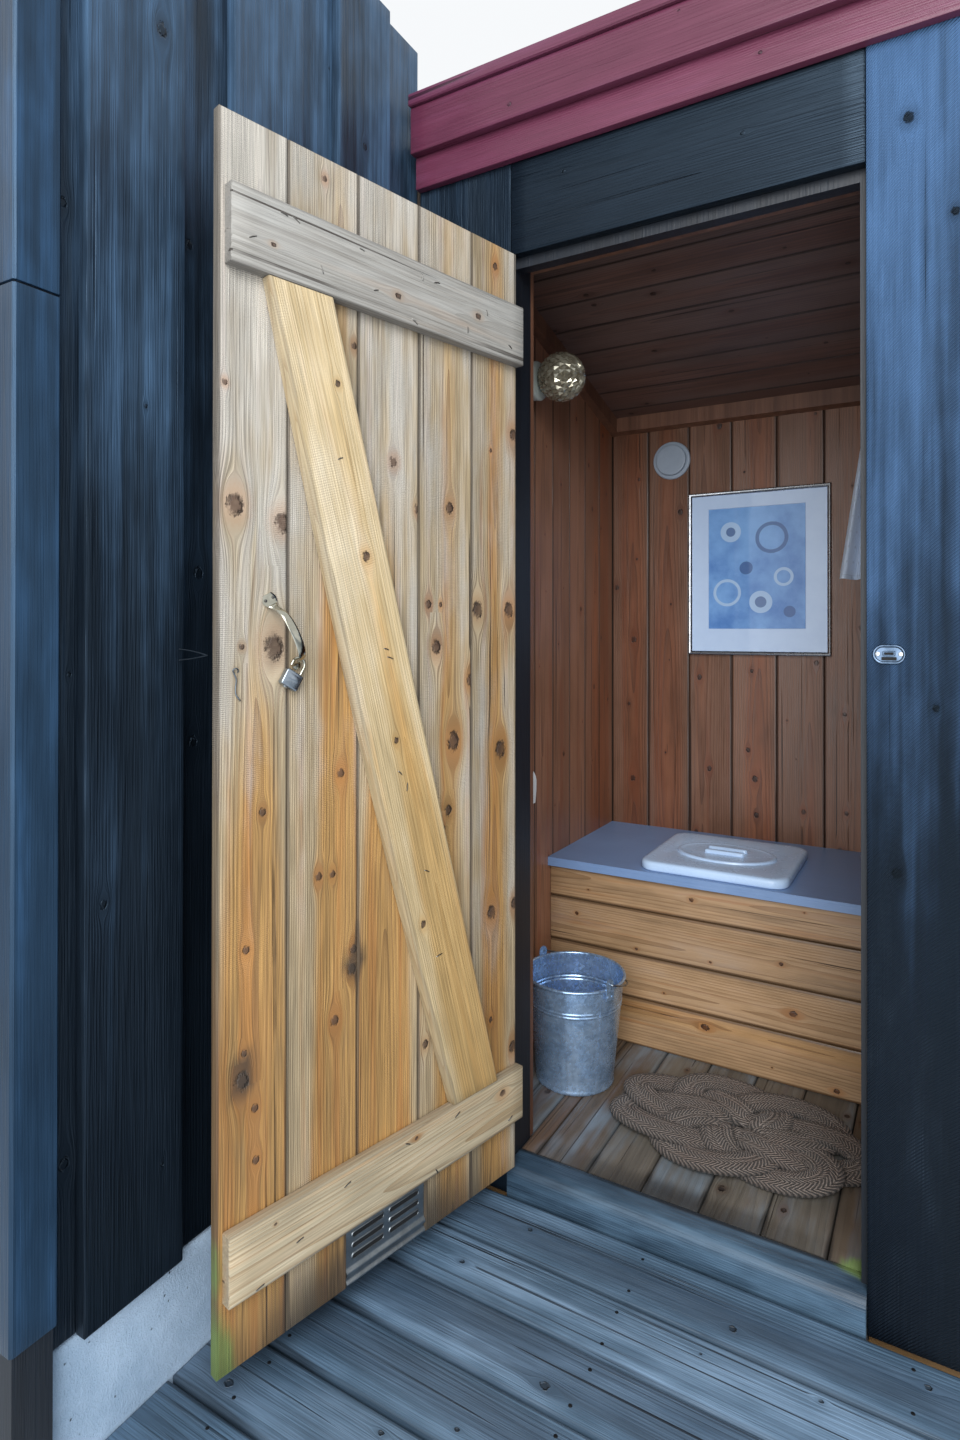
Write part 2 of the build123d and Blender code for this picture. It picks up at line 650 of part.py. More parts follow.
lean = (BUCKET_RIM - BUCKET_FOOT) / BUCKET_HIGH
inside = BUCKET_RIM - BUCKET_WALL
wall = [
    (0, BUCKET_RAISE),
    (BUCKET_FOOT + lean * BUCKET_RAISE - BUCKET_WALL, BUCKET_RAISE),
    (inside, BUCKET_HIGH + BUCKET_BEAD),
    (BUCKET_RIM + BUCKET_BEAD - 1, BUCKET_HIGH + BUCKET_BEAD),
    (BUCKET_RIM + BUCKET_BEAD + 1, BUCKET_HIGH),
    (BUCKET_RIM + BUCKET_BEAD - 1, BUCKET_HIGH - BUCKET_BEAD),
    (BUCKET_RIM - 1, BUCKET_HIGH - BUCKET_BEAD),
    (BUCKET_FOOT, 0),
    (BUCKET_FOOT - BUCKET_WALL, 0),
    (BUCKET_FOOT - BUCKET_WALL, BUCKET_RAISE - BUCKET_WALL),
    (0, BUCKET_RAISE - BUCKET_WALL),
]
bucket = revolve(Plane.XZ * make_face(Polyline(*wall, close=True)), Axis.Z)
pivot_z = BUCKET_HIGH + 14
ear_x = BUCKET_RIM + BUCKET_BEAD - 2
ear_foot = BUCKET_HIGH - 26
for turn in (0, 180):
    ear = block(ear_x, ear_x + EAR_OUT, -EAR_WIDE / 2, EAR_WIDE / 2, ear_foot, pivot_z)
    ear += Pos(ear_x + EAR_OUT / 2, 0, pivot_z) * along_x * Cylinder(EAR_WIDE / 2, EAR_OUT)
    ear += block(BUCKET_RIM - 6, ear_x + 1, -EAR_WIDE / 2, EAR_WIDE / 2, ear_foot, BUCKET_HIGH - 2)
    ear -= Pos(ear_x, 0, pivot_z) * along_x * Cylinder(BAIL_PIN + BAIL_FIT, EAR_WIDE)
    bucket += Rot(0, 0, turn) * ear
place = Pos(BUCKET_X, BUCKET_Y, FLOOR) * Rot(0, 0, EAR_TURN)
write(place * bucket, "bucket")
bail_reach = ear_x + EAR_OUT + BAIL_WIRE + 4
bail_bend = ThreePointArc((bail_reach, 0, 0), (0, bail_reach, 0), (-bail_reach, 0, 0))
bail_start = Plane(origin=bail_bend @ 0, z_dir=bail_bend % 0)
bail = sweep(bail_start * RegularPolygon(BAIL_WIRE, WIRE_SIDES), path=bail_bend)
for turn in (0, 180):
    pin = Pos(bail_reach - 8, 0, 0) * along_x * Cylinder(BAIL_PIN, 16)
    knee = Pos(bail_reach, 0, 0) * Box(2 * BAIL_WIRE + SEAT, 2 * BAIL_WIRE + SEAT, 2 * BAIL_WIRE + SEAT)
    bail += Rot(0, 0, turn) * (pin + knee)
bail = Pos(0, 0, pivot_z) * Rot(-BAIL_DROP, 0, 0) * bail
write(place * bail, "bucket_bail")

# Door leaf, drawn closed and then swung open

ledge_face = LEAF_THICK + LEDGE_THICK
notch_left = CLEAR + VENT_IN
notch_top = LEAF_FOOT + VENT_HIGH
notch = block(notch_left, notch_left + VENT_WIDE, -1, LEAF_THICK + 1, LEAF_FOOT - 1, notch_top)
leaf_boards = []
left = CLEAR
for wide in DOOR_BOARDS:
    board = block(left + BOARD_GAP / 2, left + wide - BOARD_GAP / 2, 0, LEAF_THICK, LEAF_FOOT, LEAF_TOP)
    leaf_boards.append(board - notch)
    left += wide
write(swung(joined(leaf_boards)), "door_boards")

ledge_left = CLEAR + BOARD_GAP / 2
ledge_right = FREE_EDGE - LEDGE_INSET
head = LEAF_TOP - TOP_LEDGE_DROP
top_foot = head - TOP_LEDGE_HIGH
low_foot = LEAF_FOOT + LOW_LEDGE_RISE
low_head = low_foot + LOW_LEDGE_HIGH
top_ledge = block(ledge_left, ledge_right, LEAF_THICK, ledge_face, top_foot, head)
low_ledge = block(ledge_left, ledge_right, LEAF_THICK, ledge_face, low_foot, low_head)
write(swung(joined([top_ledge, low_ledge])), "door_ledges")

foot_u = CLEAR + BRACE_FOOT_IN
head_u = FREE_EDGE - BRACE_HEAD_IN
brace_foot = low_head + SEAT
brace_head = top_foot - SEAT
middle_u = (foot_u + BRACE_WIDE + head_u) / 2 + BRACE_BOW
waney = Spline(
    (foot_u + BRACE_WIDE, brace_foot),
    (middle_u, (brace_foot + brace_head) / 2),
    (head_u, brace_head),
)
rest = Polyline(
    (head_u, brace_head),
    (head_u - BRACE_WIDE, brace_head),
    (foot_u, brace_foot),
    (foot_u + BRACE_WIDE, brace_foot),
)
brace = extrude(Plane.XZ * make_face([waney, rest]), LEDGE_THICK, dir=(0, 1, 0))
write(swung(Pos(0, LEAF_THICK, 0) * brace), "door_brace")

vent_right = notch_left + VENT_WIDE - SEAT
vent_top = LEAF_FOOT + VENT_HIGH - SEAT
vent_y = LEAF_THICK - 6
louvre = block(notch_left + SEAT, vent_right, vent_y, vent_y + VENT_SHEET, LEAF_FOOT, vent_top)
for slot_u in (notch_left + VENT_WIDE * 0.28, notch_left + VENT_WIDE * 0.72):
    for slot_z in (LEAF_FOOT + 44, LEAF_FOOT + 64, LEAF_FOOT + 84):
        louvre -= Pos(slot_u, vent_y, slot_z) * Box(VENT_SLOT, 20, 8)
for bar_z in (LEAF_FOOT + 8, LEAF_FOOT + 22):
    bar_start = (notch_left + SEAT, vent_y + VENT_SHEET, bar_z)
    bar_end = (vent_right, vent_y + VENT_SHEET, bar_z)
    louvre += rod(bar_start, bar_end, 5)
write(swung(louvre), "door_vent")

# A pull is drawn upright with its foot at zero and its grip towards +Y
grip_path = FilletPolyline(
    (0, 0, 0),
    (0, HANDLE_OUT, 0),
    (0, HANDLE_OUT, HANDLE_LONG),
    (0, 0, HANDLE_LONG),
    radius=HANDLE_BEND,
)
grip_start = Plane(origin=grip_path @ 0, x_dir=(1, 0, 0), z_dir=grip_path % 0)
grip = chamfer(Rectangle(HANDLE_WIDE, HANDLE_THICK).vertices(), HANDLE_THICK * 0.3)
pull = sweep(grip_start * grip, path=grip_path)
rose = HANDLE_WIDE / 2 + 2
pull += Pos(0, HANDLE_PLATE, 0) * Rot(90, 0, 0) * extrude(Circle(rose), HANDLE_PLATE)
top_plate = extrude(Ellipse(rose + 6, rose), HANDLE_PLATE)
pull += Pos(0, HANDLE_PLATE, HANDLE_LONG) * Rot(90, 0, 0) * top_plate
pull = Rot(0, HANDLE_TILT, 0) * pull
handle_u = FREE_EDGE - HANDLE_IN
handle_z = LEAF_FOOT + HANDLE_RISE
inner_pull = Pos(handle_u, LEAF_THICK, handle_z) * pull
outer_pull = Pos(handle_u, 0, handle_z) * mirror(pull, Plane.XZ)
write(swung(joined([inner_pull, outer_pull])), "door_handle")

# The padlock is drawn with the middle of its shackle's bend at zero
bend = ThreePointArc((SHACKLE_BEND, 0, 0), (0, 0, SHACKLE_BEND), (-SHACKLE_BEND, 0, 0))
bend_start = Plane(origin=(SHACKLE_BEND, 0, 0), z_dir=(0, 0, 1))
lock = sweep(bend_start * RegularPolygon(SHACKLE_WIRE, WIRE_SIDES), path=bend)
lock += rod((-SHACKLE_BEND, 0, -SHACKLE_LEG), (-SHACKLE_BEND, 0, 0), SHACKLE_WIRE)
lock += rod((SHACKLE_BEND, 0, -SHACKLE_PULLED), (SHACKLE_BEND, 0, 0), SHACKLE_WIRE)
lock_body = Box(LOCK_WIDE, LOCK_DEEP, LOCK_HIGH)
lock_body = fillet(lock_body.edges().filter_by(Axis.Z), LOCK_DEEP * 0.4)
lock += Pos(0, 0, 1 - SHACKLE_LEG - LOCK_HIGH / 2) * lock_body
hang_y = LEAF_THICK + HANDLE_PLATE + LOCK_DEEP / 2 + SEAT
slack = SHACKLE_BEND - SHACKLE_WIRE - HANDLE_WIDE / 2 - SEAT
lock = Rot(0, -LOCK_TILT, 0) * Pos(0, 0, -slack) * lock
write(swung(Pos(handle_u, hang_y, handle_z) * lock), "padlock")

# Tee hinges: the eye of each strap turns on a pin held by the plate's two eyes

straps = []
plates = []
half = KNUCKLE_HIGH / 2
for hinge_z in (LEAF_FOOT + HINGE_LOW_RISE, LEAF_TOP - HINGE_HIGH_DROP):
    eye = Pos(PIN_X, PIN_Y, hinge_z) * Cylinder(KNUCKLE, KNUCKLE_HIGH)
    strap = eye + block(PIN_X, HINGE_LONG, -HINGE_STRAP, 0, hinge_z - half, hinge_z + half)
    strap -= Pos(PIN_X, PIN_Y, hinge_z) * Cylinder(HINGE_PIN + PIN_FIT, 2 * KNUCKLE_HIGH)
    straps.append(strap)
    plate = block(-PLATE_WIDE, -2, -3, 0, hinge_z - PLATE_HIGH / 2, hinge_z + PLATE_HIGH / 2)
    inner = half + CLEAR
    plate -= block(PIN_X - KNUCKLE - CLEAR, 5, -20, 5, hinge_z - inner, hinge_z + inner)
    eye_high = PLATE_HIGH / 2 - inner
    for level in (hinge_z - inner - eye_high / 2, hinge_z + inner + eye_high / 2):
        plate += Pos(PIN_X, PIN_Y, level) * Cylinder(KNUCKLE, eye_high)
        plate += block(-PLATE_WIDE / 4, 0, -3, 0, level - eye_high / 2, level + eye_high / 2)
    plate += Pos(PIN_X, PIN_Y, hinge_z) * Cylinder(HINGE_PIN, PLATE_HIGH)
    plates.append(plate)
write(swung(joined(straps)), "door_hinges")
write(joined(plates), "hinge_plates")

# Wire that holds the open door, fixed to the cladding of the wing

swing = math.radians(OPEN_ANGLE)
edge_x = PIN_X + FREE_EDGE * math.cos(swing) - PIN_Y * math.sin(swing)
edge_y = PIN_Y - FREE_EDGE * math.sin(swing) - PIN_Y * math.cos(swing)
tip = (edge_x - CLEAR - 2, edge_y - 2, KEEPER_Z + 2)
covers = [wing_back - centre for centre in cover_centres(wing_long, WING_FIRST + FRONT_BOARD)]
cover_y = min(covers, key=lambda y: abs(y + CLAD_BOARD / 2 - edge_y))
wire_y = cover_y + CLAD_BOARD / 2 - HOOK_INSET
wire_x = WALL_FACE + HOOK_WIRE * 0.3
hook = rod((wire_x, wire_y, KEEPER_Z + 12), tip, HOOK_WIRE)
hook += rod((wire_x, wire_y, KEEPER_Z - 9), tip, HOOK_WIRE)
hook += Pos(*tip) * Box(2 * HOOK_WIRE, 2 * HOOK_WIRE, 2 * HOOK_WIRE)
write(hook, "door_hook_wire")
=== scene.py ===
import json
import math
import random

import bpy
from mathutils import Matrix, Vector, noise


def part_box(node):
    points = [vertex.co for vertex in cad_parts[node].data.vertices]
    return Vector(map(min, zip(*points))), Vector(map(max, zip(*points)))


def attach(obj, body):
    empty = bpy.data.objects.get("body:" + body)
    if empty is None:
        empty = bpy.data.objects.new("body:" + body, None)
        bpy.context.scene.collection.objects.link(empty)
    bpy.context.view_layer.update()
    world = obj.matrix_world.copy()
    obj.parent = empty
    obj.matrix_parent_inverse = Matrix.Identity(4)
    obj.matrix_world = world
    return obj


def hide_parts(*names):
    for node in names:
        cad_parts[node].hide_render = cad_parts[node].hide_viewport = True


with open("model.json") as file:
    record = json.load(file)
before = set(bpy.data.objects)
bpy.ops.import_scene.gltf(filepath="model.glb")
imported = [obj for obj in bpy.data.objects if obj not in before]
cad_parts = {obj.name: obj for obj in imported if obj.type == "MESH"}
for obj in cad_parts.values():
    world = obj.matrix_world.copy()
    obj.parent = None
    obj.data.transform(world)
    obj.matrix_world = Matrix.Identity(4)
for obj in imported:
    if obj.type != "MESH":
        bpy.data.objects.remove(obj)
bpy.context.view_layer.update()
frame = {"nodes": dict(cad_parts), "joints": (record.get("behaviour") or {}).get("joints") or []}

# Places below are in millimetres from one corner of the doorway: X right along the
# front wall from the hinge side, Y into the cabin, Z up from the top of the deck.
MM = 0.001
ORIGIN = Vector((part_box("lintel_board")[0].x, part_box("lintel_board")[0].y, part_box("deck_boards")[1].z))
X = Vector((1, 0, 0))
Y = Vector((0, 1, 0))
Z = Vector((0, 0, 1))


def low(node):
    """Lowest corner of a node, in millimetres."""
    return (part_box(node)[0] - ORIGIN) / MM


def high(node):
    """Highest corner of a node, in millimetres."""
    return (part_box(node)[1] - ORIGIN) / MM


def box_of(node):
    """Lowest and highest corner of a node, in millimetres."""
    return low(node), high(node)


def middle(node):
    """Middle of a node's box, in millimetres."""
    return (low(node) + high(node)) / 2


def placed(point):
    """A point in millimetres as a point of the frame in metres."""
    return ORIGIN + Vector(point) * MM


def polar(radius, degrees):
    """The two coordinates of a point at a radius and an angle."""
    angle = math.radians(degrees)
    return radius * math.cos(angle), radius * math.sin(angle)


def on_axes(place, x, y, z):
    """A move from a shape's own axes to a place on the building."""
    place = Vector(place)
    return lambda p: place + x * p[0] + y * p[1] + z * p[2]


# Sizes that several pieces share
HINGE = next(j for j in frame["joints"] if j["name"] == "door_hinge")
SWING = math.radians(-HINGE["range_deg"][1])
PIN = (Vector(HINGE["pos_m"]) - ORIGIN) / MM
ROOM_LEFT = high("lining_left").x
ROOM_RIGHT = low("lining_right").x
ROOM_BACK = low("lining_back").y
ROOM_FRONT = high("lining_front").y
FLOOR = high("floor_boards").z
BENCH_TOP = high("bench_top").z
ROOF_FALL = 0.263
CEILING_FRONT = high("lining_left").z
LEAF_THICK = 18
LEAF_FOOT = low("door_boards").z
LEAF_TOP = high("door_boards").z


def ceiling(y):
    """Height of the ceiling's underside at a depth into the cabin."""
    return CEILING_FRONT - (y - ROOM_FRONT) * ROOF_FALL


def leaf(u, v, z):
    """A point of the door leaf: u from the hinge edge, v from its outer face."""
    x = u - PIN.x
    y = v - PIN.y
    return Vector((
        PIN.x + x * math.cos(SWING) - y * math.sin(SWING),
        PIN.y + x * math.sin(SWING) + y * math.cos(SWING),
        z,
    ))


LEAF_ACROSS = leaf(1, 0, 0) - leaf(0, 0, 0)
LEAF_OUT = leaf(0, 1, 0) - leaf(0, 0, 0)


# Meshes and pieces

def piece(name, body, material, points, faces, nodes=(), layers=None, sharp=32):
    """Makes one object of the part from points in millimetres."""
    mesh = bpy.data.meshes.new(name)
    mesh.from_pydata([placed(p) for p in points], [], faces)
    for layer, values in (layers or {}).items():
        domain = "FACE" if len(values) == len(faces) else "POINT"
        data = mesh.attributes.new(layer, "FLOAT_VECTOR", domain).data
        data.foreach_set("vector", [n for value in values for n in value])
    mesh.materials.append(material)
    mesh.shade_smooth()
    mesh.set_sharp_from_angle(angle=math.radians(sharp))
    mesh.update()
    thing = bpy.data.objects.new(name, mesh)
    bpy.context.scene.collection.objects.link(thing)
    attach(thing, body)
    if nodes:
        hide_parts(*nodes)
    return thing


class Shape:
    """Points and faces that are gathered into one piece."""

    def __init__(self):
        self.points = []
        self.faces = []

    def add(self, points, faces, move=None):
        first = len(self.points)
        self.points += [move(Vector(p)) if move else Vector(p) for p in points]
        self.faces += [[first + i for i in face] for face in faces]

    def rings(self, rings, move=None, closed=True, ends=(True, True)):
        """Skins a row of rings that have the same number of points."""
        count = len(rings[0])
        points = [p for ring in rings for p in ring]
        faces = []
        for r in range(len(rings) - 1):
            for i in range(count if closed else count - 1):
                j = (i + 1) % count
                a = r * count
                faces.append([a + i, a + j, a + count + j, a + count + i])
        if ends[0]:
            faces.append(list(range(count))[::-1])
        if ends[1]:
            faces.append([(len(rings) - 1) * count + i for i in range(count)])
        self.add(points, faces, move)

    def turned(self, outline, sides, move=None):
        """Turns an outline of (radius, height) about Z. A radius of 0 closes it."""
        rings = []
        for radius, height in outline:
            reach = max(radius, 0.01)
            rings.append([(*polar(reach, 360 * i / sides), height) for i in range(sides)])
        self.rings(rings, move)

    def tube(self, path, radius, sides=8):
        """A round rod along a line of points."""
        path = [Vector(p) for p in path]
        rings = []
        last = Vector((0.31, 0.52, 0.79))
        for i, point in enumerate(path):
            ahead = path[min(i + 1, len(path) - 1)] - path[max(i - 1, 0)]
            ahead.normalize()
            last = (last - ahead * last.dot(ahead)).normalized()
            other = ahead.cross(last)
            circle = [polar(radius, 360 * k / sides) for k in range(sides)]
            rings.append([point + last * a + other * b for a, b in circle])
        self.rings(rings)

    def finish(self, name, body, slot, material, nodes=(), sharp=32):
        """Makes the piece, smooth but for edges sharper than an angle."""
        return piece(name, body, material, self.points, self.faces, nodes, None, sharp)


# Boards

class Board:
    """A board in its own axes: across its face, along its length and out of its face."""

    def __init__(self, corner, across, along, out, wide, long, thick, seed, **look):
        self.corner = Vector(corner)
        self.across = Vector(across)
        self.along = Vector(along)
        self.out = Vector(out)
        self.wide = wide
        self.long = long
        self.thick = thick
        self.rng = random.Random(seed)
        self.knots = look.get("knots", [])
        self.tone = look.get("tone", (1.0, 0.5, 0.3))
        self.far_tone = look.get("far_tone", self.tone)
        self.ease = look.get("ease", 2.0)
        self.bow = look.get("bow", 0.5)
        self.wane = look.get("wane", 0)
        self.cut = look.get("cut", (0, 0))
        self.foot_cut = look.get("foot_cut", (0, 0))
        self.belly = look.get("belly", 0)
        self.step = look.get("step", 40)
        self.section = look.get("section")
        heart = self.rng.uniform(0.25, 0.75)
        self.seed = self.rng.uniform(0, 60)
        self.pith = (wide * heart, -self.rng.uniform(10, 45))

    def outline(self, wide, share):
        """The section at a share of the length, as (across, depth, edge) points."""
        if self.section:
            return self.section
        ease = self.ease
        top = self.thick
        worn = ease
        if self.wane:
            worn += self.wane * (0.45 + 0.55 * noise.noise((share * 23, self.seed, 0)))
        inner = 5
        left = ease + inner
        right = wide - worn - inner
        steps = max(2, math.ceil((self.wide - 2 * left) / 26))
        points = [
            (wide, top - worn * 0.9, 1.0), (wide - worn * 0.3, top - worn * 0.3, 1.0),
            (wide - worn, top, 1.0),
        ]
        points += [(right + (left - right) * i / steps, top, 0.0) for i in range(steps + 1)]
        points += [(ease, top, 1.0), (ease * 0.3, top - ease * 0.3, 1.0), (0, top - ease, 1.0)]
        points += [
            (0, ease, 1.0), (ease, 0, 1.0), (wide / 2, 0, 0.3), (wide - ease, 0, 1.0), (wide, ease, 1.0),
        ]
        return points

    def mesh(self, shape, layers, stains):
        """Adds the board to a shape, with what its material needs at each point."""
        count = max(2, math.ceil(self.long / self.step))
        shares = [0.0, self.ease / self.long] + [i / count for i in range(1, count)]
        shares += [1 - self.ease / self.long, 1.0]
        drift = self.rng.uniform(0, 99)
        rings = []
        for n, share in enumerate(shares):
            wide = self.wide + self.belly * 4 * share * (1 - share)
            end = n in (0, len(shares) - 1)
            inset = self.ease * 0.6 if end else 0.0
            ring = []
            wave = self.bow * noise.noise((share * self.long / 420, drift, 3.3))
            lift = self.bow * noise.noise((share * self.long / 500, drift, 7.7))
            for across, depth, edge in self.outline(wide, share):
                across = min(max(across, inset), wide - inset)
                depth = min(max(depth, inset), self.thick - inset)
                start = self.foot_cut[0] * across + self.foot_cut[1] * depth
                top = self.long + self.cut[0] * across + self.cut[1] * depth
                along = start + (top - start) * share
                rise = depth + lift * depth / self.thick
                point = self.corner + self.across * (across + wave) + self.along * along + self.out * rise
                ring.append(point)
                self.describe(layers, stains, point, (across, along, depth), 1.0 if end else edge)
            rings.append(ring)
        first = len(shape.faces)
        shape.rings(rings)
        for face in shape.faces[first:]:
            spots = [layers["grain"][i] for i in face]
            middle = [sum(spot[k] for spot in spots) / len(spots) / MM for k in range(2)]
            layers["knot"].append(self.nearest_knot(*middle))

    def nearest_knot(self, across, along):
        """Place and size in metres of the knot that shapes the grain there."""
        if not self.knots:
            return (-1.0, -1.0, 0.0001)

        def nearness(knot):
            return ((across - knot[0]) ** 2 + (0.45 * (along - knot[1])) ** 2) / knot[2] ** 2

        return tuple(value * MM for value in min(self.knots, key=nearness))

    def describe(self, layers, stains, point, spot, edge):
        """Grain, rings, tone and stains at one point, in metres."""
        layers["grain"].append(tuple(value * MM for value in spot))
        layers["board"].append((self.pith[0] * MM, self.pith[1] * MM, self.seed))
        share = min(max(spot[1] / self.long, 0.0), 1.0)
        share = share * share * (3 - 2 * share)
        tone = [near + (far - near) * share for near, far in zip(self.tone, self.far_tone)]
        layers["tone"].append(tone)
        worst = {"moss": 0.0, "dirt": 0.0}
        for kind, centre, reach, amount in stains:
            away = Vector([(p - c) / r for p, c, r in zip(point, centre, reach)])
            worst[kind] = max(worst[kind], amount * max(0.0, 1.0 - away.length))
        # The third number marks eased edges and ends, which the wood darkens partly as dirt and partly as
        # painted shade in the joints.
        layers["stain"].append((worst["moss"], worst["dirt"], edge))


def lay_boards(name, body, material, boards, nodes=(), stains=()):
    """Joins several boards into one piece."""
    shape = Shape()
    layers = {"grain": [], "board": [], "knot": [], "tone": [], "stain": []}
    for board in boards:
        board.mesh(shape, layers, stains)
    return piece(name, body, material, shape.points, shape.faces, nodes, layers)


def wild_knots(rng, wide, long, each, largest):
    """Knots scattered over a board, about one for each stretch of its length."""
    knots = []
    at = rng.uniform(0.2, 0.9) * each
    while at < long - 30:
        knots.append((rng.uniform(0.12, 0.88) * wide, at, rng.uniform(0.35, 1.0) ** 1.6 * largest))
        at += rng.uniform(0.45, 1.6) * each
    return knots


def tones(rng, bright=0.1, heart=0.3, grey=0.3):
    """A board's own brightness, heartwood radius in decimetres and greyness."""
    return (1 + rng.uniform(-bright, bright), 0.5 + rng.uniform(-heart, heart), grey * rng.uniform(0.4, 1.6))


def own_look(rng, wide, long, each, largest, *spread):
    """Knots and then a tone, drawn for one board."""
    knots = wild_knots(rng, wide, long, each, largest)
    return {"knots": knots, "tone": tones(rng, *spread)}


# Materials

def rgb(code):
    """A colour written as six hex digits, as the linear colour that shaders take."""
    parts = [int(code[i:i + 2], 16) / 255 for i in (0, 2, 4)]
    return tuple(c / 12.92 if c <= 0.04045 else ((c + 0.055) / 1.055) ** 2.4 for c in parts) + (1.0,)


class Num:
    """A number in a material that is worked out by math nodes."""

    def __init__(self, shader, socket):
        self.shader = shader
        self.socket = socket

    def use(self, operation, *others, swap=False):
        terms = [self, *others]
        return self.shader.math(operation, *(terms[::-1] if swap else terms))

    def __add__(self, other):
        return self.use("ADD", other)

    def __sub__(self, other):
        return self.use("SUBTRACT", other)

    def __rsub__(self, other):
        return self.use("SUBTRACT", other, swap=True)

    def __rtruediv__(self, other):
        return self.use("DIVIDE", other, swap=True)

    def __mul__(self, other):
        return self.use("MULTIPLY", other)

    def __truediv__(self, other):
        return self.use("DIVIDE", other)

    def __pow__(self, other):
        return self.use("POWER", other)

    __radd__ = __add__
    __rmul__ = __mul__

    def step(self, low_end, high_end):
        """0 below the low end, 1 above the high end and smooth between."""
        node = self.shader.new("ShaderNodeMapRange", interpolation_type="SMOOTHSTEP")
        self.shader.join(self, node.inputs["Value"])
        node.inputs["From Min"].default_value = low_end
        node.inputs["From Max"].default_value = high_end
        return Num(self.shader, node.outputs["Result"])


class Shader:
    """A material whose nodes are made by short calls."""

    def __init__(self, name):
        self.material = bpy.data.materials.new(name)
        self.material.use_nodes = True
        self.tree = self.material.node_tree
        self.main = self.tree.nodes["Principled BSDF"]

    def new(self, kind, **settings):
        node = self.tree.nodes.new(kind)
        for key, value in settings.items():
            setattr(node, key, value)
        return node

    def join(self, value, socket):
        """Links a worked out number to a socket, or sets the socket's own value."""
        if isinstance(value, Num):
            self.tree.links.new(value.socket, socket)
        else:
            socket.default_value = value

    def math(self, operation, *terms):
        node = self.new("ShaderNodeMath", operation=operation)
        for term, socket in zip(terms, node.inputs):
            self.join(term, socket)
        return Num(self, node.outputs[0])

    def attribute(self, name):
        """The three numbers of a layer of the mesh."""
        node = self.new("ShaderNodeAttribute", attribute_name=name)
        return self.split(Num(self, node.outputs["Vector"]))

    def split(self, vector):
        node = self.new("ShaderNodeSeparateXYZ")
        self.join(vector, node.inputs[0])
        return [Num(self, node.outputs[i]) for i in range(3)]

    def vector(self, x, y, z):
        node = self.new("ShaderNodeCombineXYZ")
        for value, socket in zip((x, y, z), node.inputs):
            self.join(value, socket)
        return Num(self, node.outputs[0])

    def where(self):
        """The point on the object, in metres of the frame, that stays when it moves."""
        return Num(self, self.new("ShaderNodeTexCoord").outputs["Object"])

    def object_place(self):
        """The three coordinates of that point."""
        return self.split(self.where())

    def noise(self, vector, scale, detail=2.0, rough=0.5, distortion=0.0):
        node = self.new("ShaderNodeTexNoise")
        self.join(vector, node.inputs["Vector"])
        node.inputs["Scale"].default_value = scale
        node.inputs["Detail"].default_value = detail
        node.inputs["Roughness"].default_value = rough
        node.inputs["Distortion"].default_value = distortion
        return Num(self, node.outputs[0])

    def cells(self, vector, scale, feature="F1", output="Distance"):
        node = self.new("ShaderNodeTexVoronoi", feature=feature)
        self.join(vector, node.inputs["Vector"])
        node.inputs["Scale"].default_value = scale
        return Num(self, node.outputs[output])

    def mix(self, share, first, second):
        """Colours mixed by a share from 0 to 1."""
        node = self.new("ShaderNodeMix", data_type="RGBA")
        self.join(share, node.inputs[0])
        self.join(first, node.inputs[6])
        self.join(second, node.inputs[7])
        return Num(self, node.outputs[2])

    def shade(self, colour, factor):
        """A colour made lighter or darker by a factor."""
        node = self.new("ShaderNodeVectorMath", operation="SCALE")
        self.join(colour, node.inputs[0])
        self.join(factor, node.inputs["Scale"])
        return Num(self, node.outputs[0])

    def finish(self, colour, rough, height=None, depth=0.001, **fixed):
        self.join(colour, self.main.inputs["Base Color"])
        self.join(rough, self.main.inputs["Roughness"])
        for key, value in fixed.items():
            self.main.inputs[key.replace("_", " ")].default_value = value
        if height is not None:
            bump = self.new("ShaderNodeBump")
            bump.inputs["Distance"].default_value = depth
            self.join(height, bump.inputs["Height"])
            self.tree.links.new(bump.outputs[0], self.main.inputs["Normal"])
        return self.material


